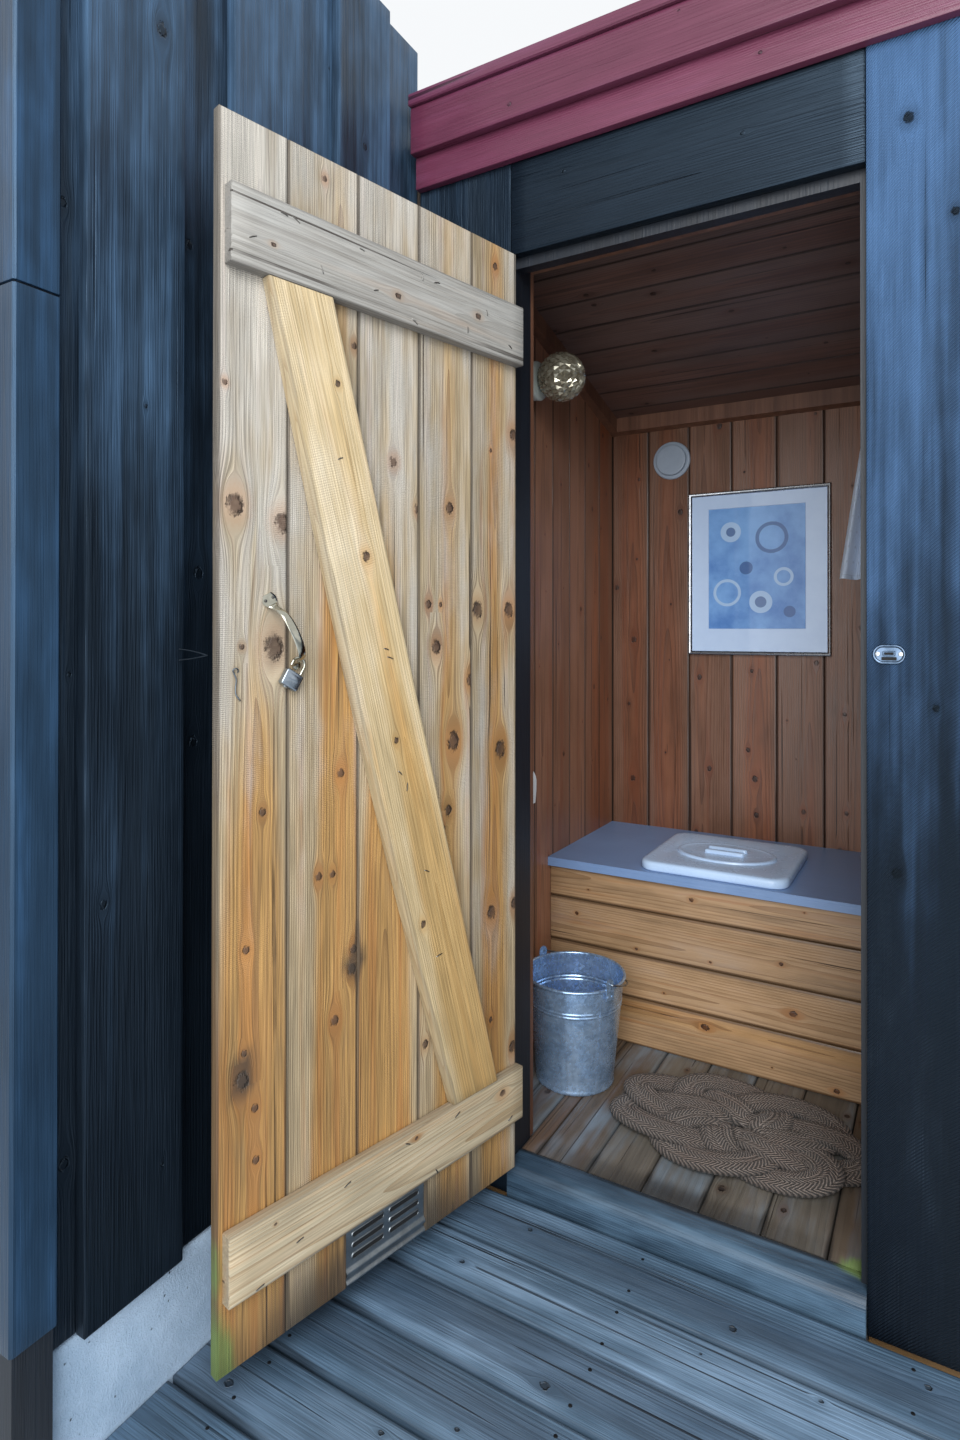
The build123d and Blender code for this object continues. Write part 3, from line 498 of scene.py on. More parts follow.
def wood(name, colours, **look):
    """Sawn or planed wood: heartwood band, rings that run round knots, checks and stains, and board edges
    darkened partly by dirt and partly by painted shade in the joints.

    The colours are those of sapwood, late wood, heartwood, streaks, greyed wood and knots.
    The tone layer gives brightness, the heartwood's radius in decimetres and greyness.
    """
    sap, late_wood, heart, streak_colour, grey, knot_colour = [rgb(code) for code in colours.split()]
    dark = rgb(look.get("dark", "2a1c12"))
    m = Shader(name)
    across, along, depth = m.attribute("grain")
    pith_a, pith_d, seed = m.attribute("board")
    centre_a, centre_l, knot_r = m.attribute("knot")
    bright, heart_reach, greyness = m.attribute("tone")
    moss, dirt, edge = m.attribute("stain")
    knot_a = across - centre_a
    knot_l = along - centre_l
    reach = knot_a * knot_a + (knot_l * 0.4) ** 2 + 0.0000001
    away = m.math("SQRT", reach) / knot_r
    near = m.math("MINIMUM", 1.3 / (away * away), 1.0) * (1.0 - away.step(1.1, 3.3))
    flowed = across - knot_a * near
    shift = seed * 0.37
    wander = m.noise(m.vector(flowed * 5 + shift, along * 0.8 + seed, depth * 5), 1.0, 1.0) - 0.5
    fine = m.noise(m.vector(flowed * 34 + shift, along * 2.4 + seed, depth * 34), 1.0, 2.0) - 0.5
    dx = flowed - pith_a
    dz = depth - pith_d
    radius = m.math("SQRT", dx * dx + dz * dz) + wander * 0.034 + fine * 0.0026 + along * 0.004
    late = m.math("FRACT", radius / look.get("ring", 0.0042)) ** 2.6
    fibre = m.noise(m.vector(flowed * 380 + shift, along * 8 + seed, depth * 380), 1.0, 1.0, 0.65)
    streak = m.noise(m.vector(flowed * 42 + seed, along * 1.2 + shift, depth * 42), 1.0, 2.0, 0.62)
    patch = m.noise(m.vector(flowed * 11 + seed, along * 3.2 + shift, depth * 11), 1.0, 3.0, 0.65)
    inside = 1.0 - (radius - heart_reach * 0.1 + fine * 0.012).step(-0.011, 0.011)
    inside = inside * (patch * 0.9 + streak * 0.5 + 0.15).step(0.2, 0.75)
    base = m.mix(inside, sap, heart)
    red = (streak + inside * 0.1 + near * 0.12).step(0.54, 0.76)
    base = m.mix(red * look.get("red", 0.7), base, streak_colour)
    base = m.mix(late * look.get("contrast", 0.4) * (0.35 + patch), base, late_wood)
    clouds = (patch - 0.5) * look.get("clouds", 1.7)
    worn = (greyness + clouds + (streak - 0.5) * 0.9 - inside * 0.25).step(0.1, 0.95)
    base = m.mix(worn * look.get("weathered", 0.75), base, grey)
    checks = look.get("checks", 0.7)
    check = m.noise(m.vector(flowed * 120 + seed, along * 0.9 + shift, depth * 40), 1.0, 1.0, 0.4)
    check = check.step(checks, checks + 0.035) * (patch + edge * 0.3 - near).step(0.3, 0.6)
    rough_edge = m.noise(m.vector(knot_a * 260, knot_l * 190, seed), 1.0, 1.0, 0.6) - 0.5
    lopsided = m.noise(m.vector(knot_a * 60 + seed, knot_l * 60, seed), 1.0, 1.0)
    ring_place = m.math("SQRT", knot_a * knot_a + (knot_l * 0.8) ** 2) / knot_r + rough_edge * 0.75
    core = 1.0 - ring_place.step(0.5, 0.85)
    rim = (1.0 - m.math("ABSOLUTE", ring_place - 0.72) * 3.4).step(0.0, 0.9) * lopsided.step(0.3, 0.62)
    halo = 1.0 - ring_place.step(0.8, 2.6)
    base = m.mix(halo * 0.35, base, streak_colour)
    base = m.mix(core * (0.55 + lopsided * 0.6), base, knot_colour)
    base = m.mix(rim * 0.92, base, dark)
    base = m.mix(check * 0.85, base, dark)
    # Darkening from dirt stains and at every board's eased edges and ends: the stains are real dirt, the
    # edges partly dirt and partly painted shade in the joints between boards.
    soil = dirt * 1.7 + edge * 0.55 * look.get("edges", 1.0) + (patch - 0.5) * 1.2 * (dirt + edge * 0.4)
    base = m.mix(soil.step(0.1, 1.0) * 0.85, base, rgb(look.get("soil", "4a4540")))
    green = moss * 1.9 + (fibre - 0.5) * 1.2 * moss + (patch - 0.5) * 1.4 * moss
    base = m.mix(green.step(0.25, 0.9) * 0.85, base, rgb("667c44"))
    saw = None
    if look.get("saw"):
        pitch, lean, curve = look["saw"]
        stroke = along + across * lean + across * across * curve + fine * 0.002
        teeth = m.math("SINE", stroke * (2 * math.pi / pitch))
        saw = teeth * patch.step(*look.get("saw_where", (0.42, 0.66)))
        base = m.shade(base, saw * look.get("saw_tone", 0.07) + 1.0)
    lines = look.get("streaks", 0.14)
    grain = look.get("grain", 0.35)
    mottle = look.get("mottle", 0.7)
    level = 1.0 - (lines + grain + mottle) * 0.5
    base = m.shade(base, bright * (level + fibre * grain + streak * lines + patch * mottle))
    height = late * 0.3 + fibre * 0.6 - check * 1.8 - rim * 0.9 + core * 0.4 + (patch - 0.5) * 0.5
    if saw is not None:
        height = height + saw * look.get("saw_depth", 0.35)
    rough = look.get("rough", 0.62) + (fibre - 0.5) * 0.3 + (patch - 0.5) * 0.16 + late * -0.05
    return m.finish(base, rough, height * look.get("bump", 1.0), 0.0012, **look.get("fixed", {}))


def plain_timber(name, pale, dark, along, rough=0.7, panel=None):
    """Timber for hidden pieces, with its grain along one axis of the frame."""
    m = Shader(name)
    x, y, z = m.object_place()
    side, run, depth = {"x": (y, x, z), "y": (x, y, z), "z": (x, z, y)}[along]
    fibre = m.noise(m.vector(side * 260, run * 7, depth * 260), 1.0, 3.0, 0.6)
    bands = m.noise(m.vector(side * 34, run * 1.1, depth * 34), 1.0, 3.0, 0.6)
    base = m.mix((bands * 1.5 - 0.25 + (fibre - 0.5) * 0.6).step(0.0, 1.0), rgb(pale), rgb(dark))
    height = fibre
    if panel:
        seam = m.math("PINGPONG", (x + y if along == "z" else z), panel / 2)
        line = 1.0 - seam.step(0.0, 0.004)
        base = m.mix(line * 0.8, base, rgb("14100c"))
        height = fibre - line * 3.0
    return m.finish(base, rough, height, 0.0008)


def paint(name, colour, worn, rough):
    """Paint brushed along X over wood, with a little wear and dust."""
    m = Shader(name)
    where = m.where()
    x, y, z = m.split(where)
    brush = m.noise(m.vector(y * 300, x * 6, z * 300), 1.0, 3.0, 0.6)
    cloud = m.noise(where, 7.0, 4.0, 0.6)
    speck = m.noise(where, 420.0, 1.0).step(0.74, 0.8)
    base = m.mix((cloud * 1.7 - 0.35).step(0.0, 1.0) * 0.55, rgb(colour), rgb(worn))
    base = m.mix(speck * 0.4, base, rgb("d8d8d8"))
    base = m.shade(base, 0.9 + brush * 0.2)
    return m.finish(base, rough + (cloud - 0.5) * 0.3, brush + cloud * 0.6, 0.0007)


def metal(name, colour, dark, rough, metallic=1.0, spangle=0.0, rust=0.0):
    """Metal with wear, and spangle or rust where it has them."""
    m = Shader(name)
    where = m.where()
    cloud = m.noise(where, 38.0, 4.0, 0.6)
    grit = m.noise(where, 620.0, 2.0)
    base = m.mix((cloud * 1.8 - 0.4).step(0.0, 1.0), rgb(colour), rgb(dark))
    rough_now = rough + (cloud - 0.5) * 0.35
    if spangle:
        flakes = m.cells(where, spangle, output="Color")
        flake = m.split(flakes)[0]
        base = m.shade(base, 0.88 + flake * 0.24)
        rough_now = rough_now + (flake - 0.5) * 0.16
    if rust:
        spots = m.noise(where, 95.0, 4.0, 0.7).step(0.72 - rust, 0.8 - rust)
        base = m.mix(spots * 0.8, base, rgb("5a3018"))
        rough_now = rough_now + spots * 0.3
    return m.finish(base, rough_now, grit * 0.08 + cloud, 0.0004, Metallic=metallic)


def plastic(name, colour, shadow, rough, **fixed):
    """Moulded plastic or glaze with faint dust and a soft grain."""
    m = Shader(name)
    where = m.where()
    cloud = m.noise(where, 24.0, 3.0, 0.6)
    grain = m.noise(where, 900.0, 1.0)
    base = m.mix((cloud * 1.6 - 0.3).step(0.0, 1.0) * 0.5, rgb(colour), rgb(shadow))
    return m.finish(base, rough + (cloud - 0.5) * 0.2, grain * 0.3 + cloud * 0.4, 0.0003, **fixed)


def concrete():
    """Pale cast concrete with pores, stains and coarse grain."""
    m = Shader("concrete_cast")
    where = m.where()
    cloud = m.noise(where, 6.0, 5.0, 0.65)
    sand = m.noise(where, 340.0, 3.0, 0.7)
    pores = 1.0 - m.cells(where, 95.0).step(0.05, 0.22)
    pocks = m.noise(where, 55.0, 2.0).step(0.62, 0.7) * pores
    base = m.mix((cloud * 1.9 - 0.45).step(0.0, 1.0), rgb("98b0c8"), rgb("bfd4ea"))
    base = m.mix(pocks * 0.7, base, rgb("5c6066"))
    base = m.shade(base, 0.82 + sand * 0.36)
    return m.finish(base, sand * 0.1 + 0.85, sand * 0.7 - pocks * 2.2 + cloud * 1.5, 0.003)


def felt():
    """Mineral roof felt."""
    m = Shader("felt_mineral")
    where = m.where()
    grit = m.noise(where, 700.0, 2.0, 0.7)
    cloud = m.noise(where, 4.0, 4.0)
    base = m.mix(grit.step(0.35, 0.7), rgb("2c2e30"), rgb("55585a"))
    base = m.shade(base, 0.8 + cloud * 0.4)
    return m.finish(base, grit * 0.1 + 0.85, grit, 0.0012)


def smoked_glass():
    """Pressed glass with a thin gold-brown lustre."""
    m = Shader("glass_smoked_gold")
    where = m.where()
    cloud = m.noise(where, 60.0, 3.0)
    base = m.mix(cloud.step(0.35, 0.65), rgb("d2ccb6"), rgb("a09680"))
    return m.finish(
        base, 0.05 + cloud * 0.12, cloud, 0.0003, Transmission_Weight=0.45, Metallic=0.35, IOR=1.5,
    )


def towel_cloth():
    """White woven cotton with a small grey pattern and sewn hems."""
    m = Shader("towel_cotton")
    u, v = m.attribute("cloth")[:2]
    weave = m.math("SINE", u * 6600.0) + m.math("SINE", v * 6600.0)
    cloud = m.noise(m.vector(u * 30, v * 30, 0.0), 1.0, 3.0)
    cell_u = m.math("ABSOLUTE", m.math("FRACT", u / 0.026) - 0.5)
    cell_v = m.math("ABSOLUTE", m.math("FRACT", v / 0.034) - 0.5)
    motif = 1.0 - (cell_u + cell_v).step(0.09, 0.16)
    edge = m.math("MINIMUM", m.math("MINIMUM", u, 0.33 - u), m.math("MINIMUM", v, 0.6 - v))
    hem = 1.0 - m.math("ABSOLUTE", edge - 0.009).step(0.0002, 0.0012)
    base = m.mix(cloud, rgb("dbe8fb"), rgb("ccdcf4"))
    base = m.mix(motif * 0.35, base, rgb("8f98ab"))
    base = m.mix(hem * 0.4, base, rgb("8f98ab"))
    return m.finish(base, 0.9 + cloud * 0.05, weave * 0.4 + cloud - hem, 0.0005, Sheen_Weight=0.3)


def coir():
    """Braided coconut fibre: slanting ridges across each band, grey-brown and dusty, with painted shade in
    the valleys between ridges and on the braid's sides and underside.
    """
    m = Shader("coir_fibre")
    where = m.where()
    across, along, top = m.attribute("braid")
    fibre = m.noise(where, 520.0, 4.0, 0.75, 0.6)
    tuft = m.noise(where, 120.0, 3.0, 0.6)
    cloud = m.noise(where, 9.0, 4.0, 0.6)
    slant = m.math("PINGPONG", across + 0.5, 0.019) * 1.1
    ridge = m.math("SINE", (along + slant + tuft * 0.002) * (2 * math.pi / 0.009)) * 0.5 + 0.5
    base = m.mix(fibre.step(0.3, 0.68), rgb("483a32"), rgb("b8aaa0"))
    base = m.mix((cloud * 1.4 + tuft * 0.5 - 0.55).step(0.2, 0.7) * 0.4, base, rgb("74584a"))
    base = m.mix(ridge * (tuft - 0.1).step(0.3, 0.6) * 0.4, base, rgb("a89d96"))
    # Painted shade: darker in the valleys between ridges and towards the braid's sides and underside, by the
    # braid's third number.
    base = m.shade(base, (0.16 + ridge * 1.1) * (0.2 + top * 0.8) * (0.72 + cloud * 0.6))
    return m.finish(base, fibre * 0.05 + 0.9, ridge * 2.2 + fibre + tuft, 0.002, Sheen_Weight=0.1)


BLUE_GLOSS = {"Specular_IOR_Level": 0.4, "Specular_Tint": (0.5, 0.73, 1.0, 1.0)}
BLACK_LOOK = {
    "dark": "04060a", "soil": "080c12", "contrast": 0.4, "red": 0.3, "weathered": 0.9, "edges": 0.5,
    "clouds": 0.7, "streaks": 0.8, "mottle": 1.5, "checks": 0.72, "fixed": BLUE_GLOSS,
}
LINING_LOOK = {
    "dark": "170b06", "soil": "160d09", "ring": 0.0055, "contrast": 0.75, "weathered": 0.45,
    "bump": 0.6, "edges": 1.4, "streaks": 0.7, "mottle": 1.3,
}
BENCH_LOOK = {**LINING_LOOK, "dark": "2c180c", "soil": "46301e", "weathered": 0.7, "clouds": 2.2}
M = {
    "door": wood(
        "pine_door", "b8a483 805f3c b98f56 9c6836 a8a6a1 4c382c", contrast=0.85, streaks=1.0, grain=0.95,
        mottle=1.0, bump=1.5, edges=1.5, soil="3e362e", saw=(0.0032, 0.02, 0.0), saw_tone=0.035,
        saw_depth=0.2,
    ),
    "brace": wood(
        "pine_brace", "cdb68c a5824e c2a06a b58a50 c4b9a4 4c382c", contrast=0.75, streaks=0.75, grain=0.8,
        mottle=0.9, weathered=0.7, red=0.6, checks=0.76, saw=(0.0042, 0.05, 0.0), saw_tone=0.025,
        saw_depth=0.14,
    ),
    "top_ledge": wood(
        "pine_top_ledge", "a9a49c 7f786c a99680 977c62 9a9893 4c382c", contrast=0.7, weathered=0.9, bump=1.6,
        checks=0.64, streaks=0.9, grain=0.8, mottle=1.1,
    ),
    "low_ledge": wood(
        "pine_low_ledge", "bdad90 93734c bd9a6a a87846 a79e90 4c382c", contrast=0.75, weathered=0.6,
        streaks=0.8, grain=0.8, mottle=0.9,
    ),
    "lining": wood("pine_lining", "7a5540 4c3024 7c4c32 6c3a22 5e4a40 2e1a12", rough=0.42, **LINING_LOOK),
    # The ceiling's colours are darker and greyer than the lining's: painted shade of the ceiling.
    "ceiling": wood("pine_ceiling", "665048 40302b 664a40 543a30 504442 24160f", rough=0.5, **LINING_LOOK),
    "bench": wood("pine_bench", "ad8c69 7a5a3c ae8350 945f30 8a7a6c 4c2a16", rough=0.38, **BENCH_LOOK),
    "floor": wood(
        "floor_timber_worn", "70695f 3c3835 665646 583e2c 6a7680 2c2322", ring=0.005, weathered=0.9,
        clouds=2.3, streaks=0.8, mottle=1.4, bump=1.2, rough=0.6, soil="22201f",
    ),
    "deck": wood(
        "deck_timber_worn", "5c778f 38495b 54697e 465b70 7890a8 26313c", ring=0.005, contrast=0.7,
        weathered=0.8, streaks=0.8, mottle=1.4, bump=1.6, rough=0.5, checks=0.66, soil="1c2630",
        dark="10161c",
    ),
    # The greyed colour of the black stains is blue: partly weathered stain and partly painted sky sheen,
    # which the boards' tones raise towards their tops.
    "black": wood(
        "black_stain", "17202a 0c1219 131b24 10171f 394f66 070b10", bump=1.6, rough=0.42, **BLACK_LOOK,
    ),
    "black_sawn": wood(
        "black_stain_sawn", "161f2c 0e151f 131c27 111923 48658a 070b10", bump=1.6, rough=0.46,
        saw=(0.0062, 0.62, 1.6), saw_where=(0.15, 0.5), saw_tone=0.09, saw_depth=0.7, **BLACK_LOOK,
    ),
    # The casing's blue-black colours are partly painted sky sheen.
    "casing": wood(
        "black_casing", "1f3347 172737 1c2f42 182a3c 3d628a 101a24", bump=0.6, rough=0.34,
        **{**BLACK_LOOK, "checks": 0.78},
    ),
    "red": wood(
        "burgundy_paint", "642e44 512236 5e2a3f 552538 7a4a6a 421a2b", contrast=0.3, weathered=0.6, red=0.3,
        bump=0.7, rough=0.36, dark="2c1220", soil="28121c", checks=0.76, edges=0.5, clouds=0.9,
    ),
    "sill": wood(
        "threshold_worn", "34495c 1c2a37 2c3e4f 253543 5f7b92 10171d", contrast=0.5, weathered=0.65,
        streaks=0.7, mottle=1.4, bump=1.4, rough=0.45, dark="080b0f", soil="10171d",
    ),
    "lining_plain": plain_timber("lining_plain_pine", "7a5440", "573829", "z", 0.45),
    "black_frame": plain_timber("black_frame", "111a25", "0a1018", "z", 0.5),
    "timber": plain_timber("sawn_timber", "b08a5c", "8a6740", "x"),
    "joist": plain_timber("sawn_joist", "8a7458", "665440", "y"),
    "panel": plain_timber("boarded_panel", "4a4038", "332b25", "z", 0.75, 0.14),
    "bench_paint": paint("bench_satin", "7490ba", "86a0c8", 0.36),
    "galvanised": metal("zinc_spangle", "b6d2f2", "94b2d6", 0.25, 0.72, spangle=150.0),
    "wire": metal("wire_zinc", "9aa2aa", "6c747c", 0.35, rust=0.02),
    "knob": metal("knob_blue_steel", "5c6c80", "3c4a5a", 0.25),
    "zinc": metal("screw_zinc", "d2d6da", "a8acb0", 0.3),
    "lock": metal("lock_satin", "b4bcc4", "8c98a4", 0.3),
    "steel": metal("steel_dull", "8c8a86", "5e5c58", 0.35, rust=0.06),
    "hinge": metal("hinge_black", "24262a", "15171a", 0.5, 0.6, rust=0.05),
    "handle": metal("handle_polished", "c8c6b8", "a09e90", 0.12),
    "louvre": metal("louvre_satin", "9aa0a4", "7a8084", 0.4),
    "silver": metal("frame_satin", "b4b6ba", "8c8f94", 0.28),
    "lid": plastic("lid_moulded", "c4dcf8", "b2cbec", 0.26),
    "glaze": plastic("glazed_white", "c6cdc6", "b0b8b0", 0.2),
    "vent": plastic("vent_white", "9eaab8", "8a96a6", 0.4),
    "tissue": plastic("tissue_white", "e6e6e6", "d8d8d8", 0.9),
    "mount": plastic("mount_card", "c6dbf8", "b8cff0", 0.35, Coat_Weight=1.0, Coat_Roughness=0.03),
    # Near-black pieces that stand for openings: painted shade in vent holes and slots.
    "hole_shade": plastic("painted_shade_opening", "0c0d0f", "060607", 0.8),
    "smoked": smoked_glass(),
    "towel": towel_cloth(),
    "coir": coir(),
    "concrete": concrete(),
    "felt": felt(),
}


def dress(node, material):
    """Gives a node that stays on show its finish."""
    mesh = frame["nodes"][node].data
    mesh.materials.clear()
    mesh.materials.append(M[material])


# Door

DOOR_JOINTS = (5, 144, 289, 435, 581, 707)
NOTCH = (270, 458)
NOTCH_HIGH = 100
LEDGE_THICK = 22
LEDGE_FACE = LEAF_THICK + 0.3
LEDGE_DEEP = LEDGE_THICK - 0.3
TOP_LEDGE = (1800, 1926)
LOW_LEDGE = (181, 292)
LEDGE_RUN = (5.5, 697)
# Knots seen on the leaf: along it from the hinge edge, height over the deck, radius
DOOR_KNOTS = [
    (677, 1427, 17), (695, 1617, 5), (508, 2011, 6), (444, 1737, 7), (352, 1543, 10), (72, 2000, 8),
    (14, 1652, 12), (85, 1607, 4), (206, 1473, 11), (291, 1462, 9), (590, 1406, 16), (606, 1201, 20),
    (665, 1202, 5), (263, 1279, 8), (231, 1279, 5), (242, 1196, 13), (125, 1271, 16), (28, 1273, 15),
    (147, 1127, 11), (195, 1006, 18), (55, 976, 17), (472, 977, 9), (627, 933, 7), (209, 870, 10),
    (224, 836, 7), (518, 805, 8), (489, 803, 7), (82, 635, 14), (9, 637, 12), (656, 718, 7),
    (444, 660, 9), (447, 626, 11), (484, 547, 10), (659, 555, 6), (663, 513, 14), (640, 460, 7),
    (638, 376, 7), (270, 427, 8), (15, 328, 12), (84, 410, 6), (330, 1880, 8), (610, 1760, 6),
]
DOOR_STAINS = [
    ("moss", tuple(leaf(704, 9, 66)), (46, 46, 130), 0.95),
    ("moss", tuple(leaf(706, 9, 230)), (20, 20, 90), 0.7),
    ("dirt", tuple(leaf(380, 9, 60)), (420, 420, 150), 0.9),
    ("dirt", tuple(leaf(663, 18, 520)), (40, 40, 60), 0.9),
    ("dirt", tuple(leaf(440, 18, 640)), (40, 40, 50), 0.8),
    ("dirt", tuple(leaf(606, 18, 1195)), (26, 40, 48), 0.5),
]


def door_boards():
    """Five planks of the leaf, with the notch for the louvre cut out at the foot."""
    looks = [
        ((0.90, 0.50, 0.30), (0.95, 0.40, 0.50)), ((0.98, 0.55, 0.20), (1.02, 0.40, 0.50)),
        ((1.02, 0.75, 0.05), (1.07, 0.30, 0.70)), ((0.98, 0.65, 0.15), (1.02, 0.35, 0.60)),
        ((0.90, 1.00, -0.10), (1.10, 0.20, 1.00)),
    ]
    notch_top = LEAF_FOOT + NOTCH_HIGH
    half_gap = 0.6
    boards = []
    for i, (tone, head_tone) in enumerate(looks):
        left = DOOR_JOINTS[i] + half_gap
        right = DOOR_JOINTS[i + 1] - half_gap
        spans = [(left, right, LEAF_FOOT, LEAF_TOP)]
        if left < NOTCH[1] and right > NOTCH[0]:
            spans = [(left, right, notch_top, LEAF_TOP)]
            if left < NOTCH[0]:
                spans.append((left, NOTCH[0], LEAF_FOOT, notch_top))
            if right > NOTCH[1]:
                spans.append((NOTCH[1], right, LEAF_FOOT, notch_top))
        for u0, u1, z0, z1 in spans:
            whole = z1 == LEAF_TOP
            knots = [(u - u0, z - z0, r) for u, z, r in DOOR_KNOTS if left < u < right and z > z0 - 40]
            board = Board(
                leaf(u0, 0, z0), LEAF_ACROSS, Z, LEAF_OUT, u1 - u0, z1 - z0, LEAF_THICK, 40 + i, knots=knots,
                tone=tone, far_tone=head_tone if whole else tone, ease=1.6, bow=0.5 if whole else 0.0,
            )
            board.pith = (board.pith[0] + left - u0, board.pith[1])
            boards.append(board)
    lay_boards("door_planks", "door", M["door"], boards, ["door_boards"], DOOR_STAINS)


def door_ledges():
    """The two ledges across the inner side of the leaf."""
    long = LEDGE_RUN[1] - LEDGE_RUN[0]
    for place, (z0, z1), seed, tone in (
        ("top", TOP_LEDGE, 61, (0.98, 0.15, 0.5)),
        ("low", LOW_LEDGE, 67, (1.03, 0.6, 0.2)),
    ):
        knots = wild_knots(random.Random(seed), z1 - z0, long, 260, 9)
        board = Board(
            leaf(LEDGE_RUN[0], LEDGE_FACE, z0), Z, LEAF_ACROSS, LEAF_OUT, z1 - z0, long, LEDGE_DEEP, seed,
            knots=knots, tone=tone, ease=2.2, bow=1.0,
        )
        material = M[place + "_ledge"]
        lay_boards(
            "door_" + place + "_ledge", "door", material, [board], ["door_ledges"],
            DOOR_STAINS,
        )


def door_brace():
    """The bowed brace between the ledges, with a waney edge."""
    foot = Vector((86, 0, LOW_LEDGE[1] + 0.6))
    head = Vector((505, 0, TOP_LEDGE[0] - 0.6))
    run = head - foot
    lean = math.atan2(run.x, run.z)
    level_wide = 126
    wide = level_wide * math.cos(lean)
    along = LEAF_ACROSS * math.sin(lean) + Z * math.cos(lean)
    across = LEAF_ACROSS * math.cos(lean) - Z * math.sin(lean)
    slope = math.tan(lean)
    knots = [(48, 1120, 9), (70, 780, 6), (100, 420, 7), (30, 1420, 6)]
    board = Board(
        leaf(foot.x, LEDGE_FACE, foot.z), across, along, LEAF_OUT, wide, run.length, LEDGE_DEEP, 71,
        knots=knots, tone=(0.94, 0.6, 0.15), far_tone=(1.05, 0.3, 0.4), ease=1.8, wane=13, belly=17,
        cut=(slope, 0), foot_cut=(slope, 0), step=24,
    )
    lay_boards("door_brace_board", "door", M["brace"], [board], ["door_brace"])


# Nails and screws

# Places of the nails on the leaf: along it from the hinge edge, height over the deck
CLENCHED = [
    (603, 1906), (580, 1905), (660, 1849), (444, 1902), (529, 1839), (301, 1899), (262, 1900), (412, 1840),
    (121, 1882), (177, 1832), (50, 1830), (319, 1809), (472, 266), (334, 273), (260, 183), (204, 272),
    (47, 197), (569, 222), (643, 183), (490, 1525), (387, 1194), (378, 1178), (354, 965), (337, 937),
    (287, 770), (254, 601),
]


def clenched_nails():
    """Nail ends bent over on the inner side of the door."""
    rng = random.Random(5)
    shape = Shape()
    face = LEAF_THICK + LEDGE_THICK + 0.4
    for u, z in CLENCHED:
        turn = rng.uniform(-0.5, 0.5) + (1.2 if rng.random() < 0.25 else 0)
        reach = rng.uniform(6, 9)
        du = math.cos(turn) * reach
        dz = math.sin(turn) * reach
        z = min(max(z, LOW_LEDGE[0] + 6), TOP_LEDGE[1] - 6)
        path = [
            leaf(u + du * share, face + out, z + dz * share + up)
            for share, out, up in ((-1, -1.6, 0), (-0.8, 0, 0), (0, 0.4, 0.6), (0.8, 0, 0), (1, -1.8, 0))
        ]
        shape.tube(path, 1.1, 6)
    shape.finish("door_nails", "door", "steel", M["steel"])


# A head's half section: share of its radius, height
HEAD_SHAPE = ((1.0, 0.0), (0.9, 0.7), (0.55, 1.1), (0.12, 1.2))


def heads(name, body, material, places, out, radius):
    """Low round heads of nails or screws on flat faces."""
    shape = Shape()
    out = Vector(out)
    side = out.orthogonal().normalized()
    for place in places:
        rings = [[(*polar(radius * r, 45 * k), h) for k in range(8)] for r, h in HEAD_SHAPE]
        shape.rings(rings, on_axes(place, side, out.cross(side), out), ends=(False, True))
    shape.finish(name, body, "steel", M[material])


# Black walls

COVER = 175
COVER_PITCH = 280
CLAD = 22
UNDER_BOARD = 175
UNDER_LAP = 30
NARROWEST = 20


def comb_cladding(name, corner, along_wall, out, length, first, foot, top, seed, node, lift=(1.1, 0.3)):
    """Board on board cladding: a row of under boards and a row of cover boards. Each board is darker at its
    foot and lighter and greyer towards its top by the lift, a painted sky sheen.
    """
    rng = random.Random(seed)
    centres = []
    centre = first
    while centre + COVER / 2 <= length + 1:
        centres.append(centre)
        centre += COVER_PITCH
    starts = [0.0] + [c + COVER / 2 - UNDER_LAP for c in centres]
    ends = [c - COVER / 2 + UNDER_LAP for c in centres] + [length]
    boards = []
    for start, end in zip(starts, ends):
        if end - start < NARROWEST:
            continue
        rows = max(1, round((end - start) / UNDER_BOARD))
        for k in range(rows):
            a0 = start + (end - start) * k / rows + 0.6
            a1 = start + (end - start) * (k + 1) / rows - 0.6
            boards.append((a0, a1, 0.0, CLAD))
    boards += [(c - COVER / 2, c + COVER / 2, CLAD + 0.2, 2 * CLAD) for c in centres]
    made = []
    for n, (a0, a1, d0, d1) in enumerate(boards):
        spots = [Vector(corner) + along_wall * a + out * d for a, d in ((a0, d0), (a1, d0), (a0, d1))]
        tall, far_side, far_face = [top(spot) - foot for spot in spots]
        cut = ((far_side - tall) / (a1 - a0), (far_face - tall) / (d1 - d0))
        knots = wild_knots(rng, a1 - a0, tall, 480, 11)
        bright, heart, grey = tones(rng, 0.1, 0.3, 0.05)
        # Painted sky sheen: the tone runs from dark at the foot to the lift's brightness and greyness at the
        # top.
        made.append(Board(
            spots[0] + Z * foot, along_wall, Z, out, a1 - a0, tall, d1 - d0, seed + n, knots=knots,
            tone=(bright * 0.65, heart, grey), far_tone=(bright * lift[0], heart, grey + lift[1]),
            ease=2.6, bow=0.9, cut=cut,
        ))
    lay_boards(name, "cabin", M["black"], made, [node])


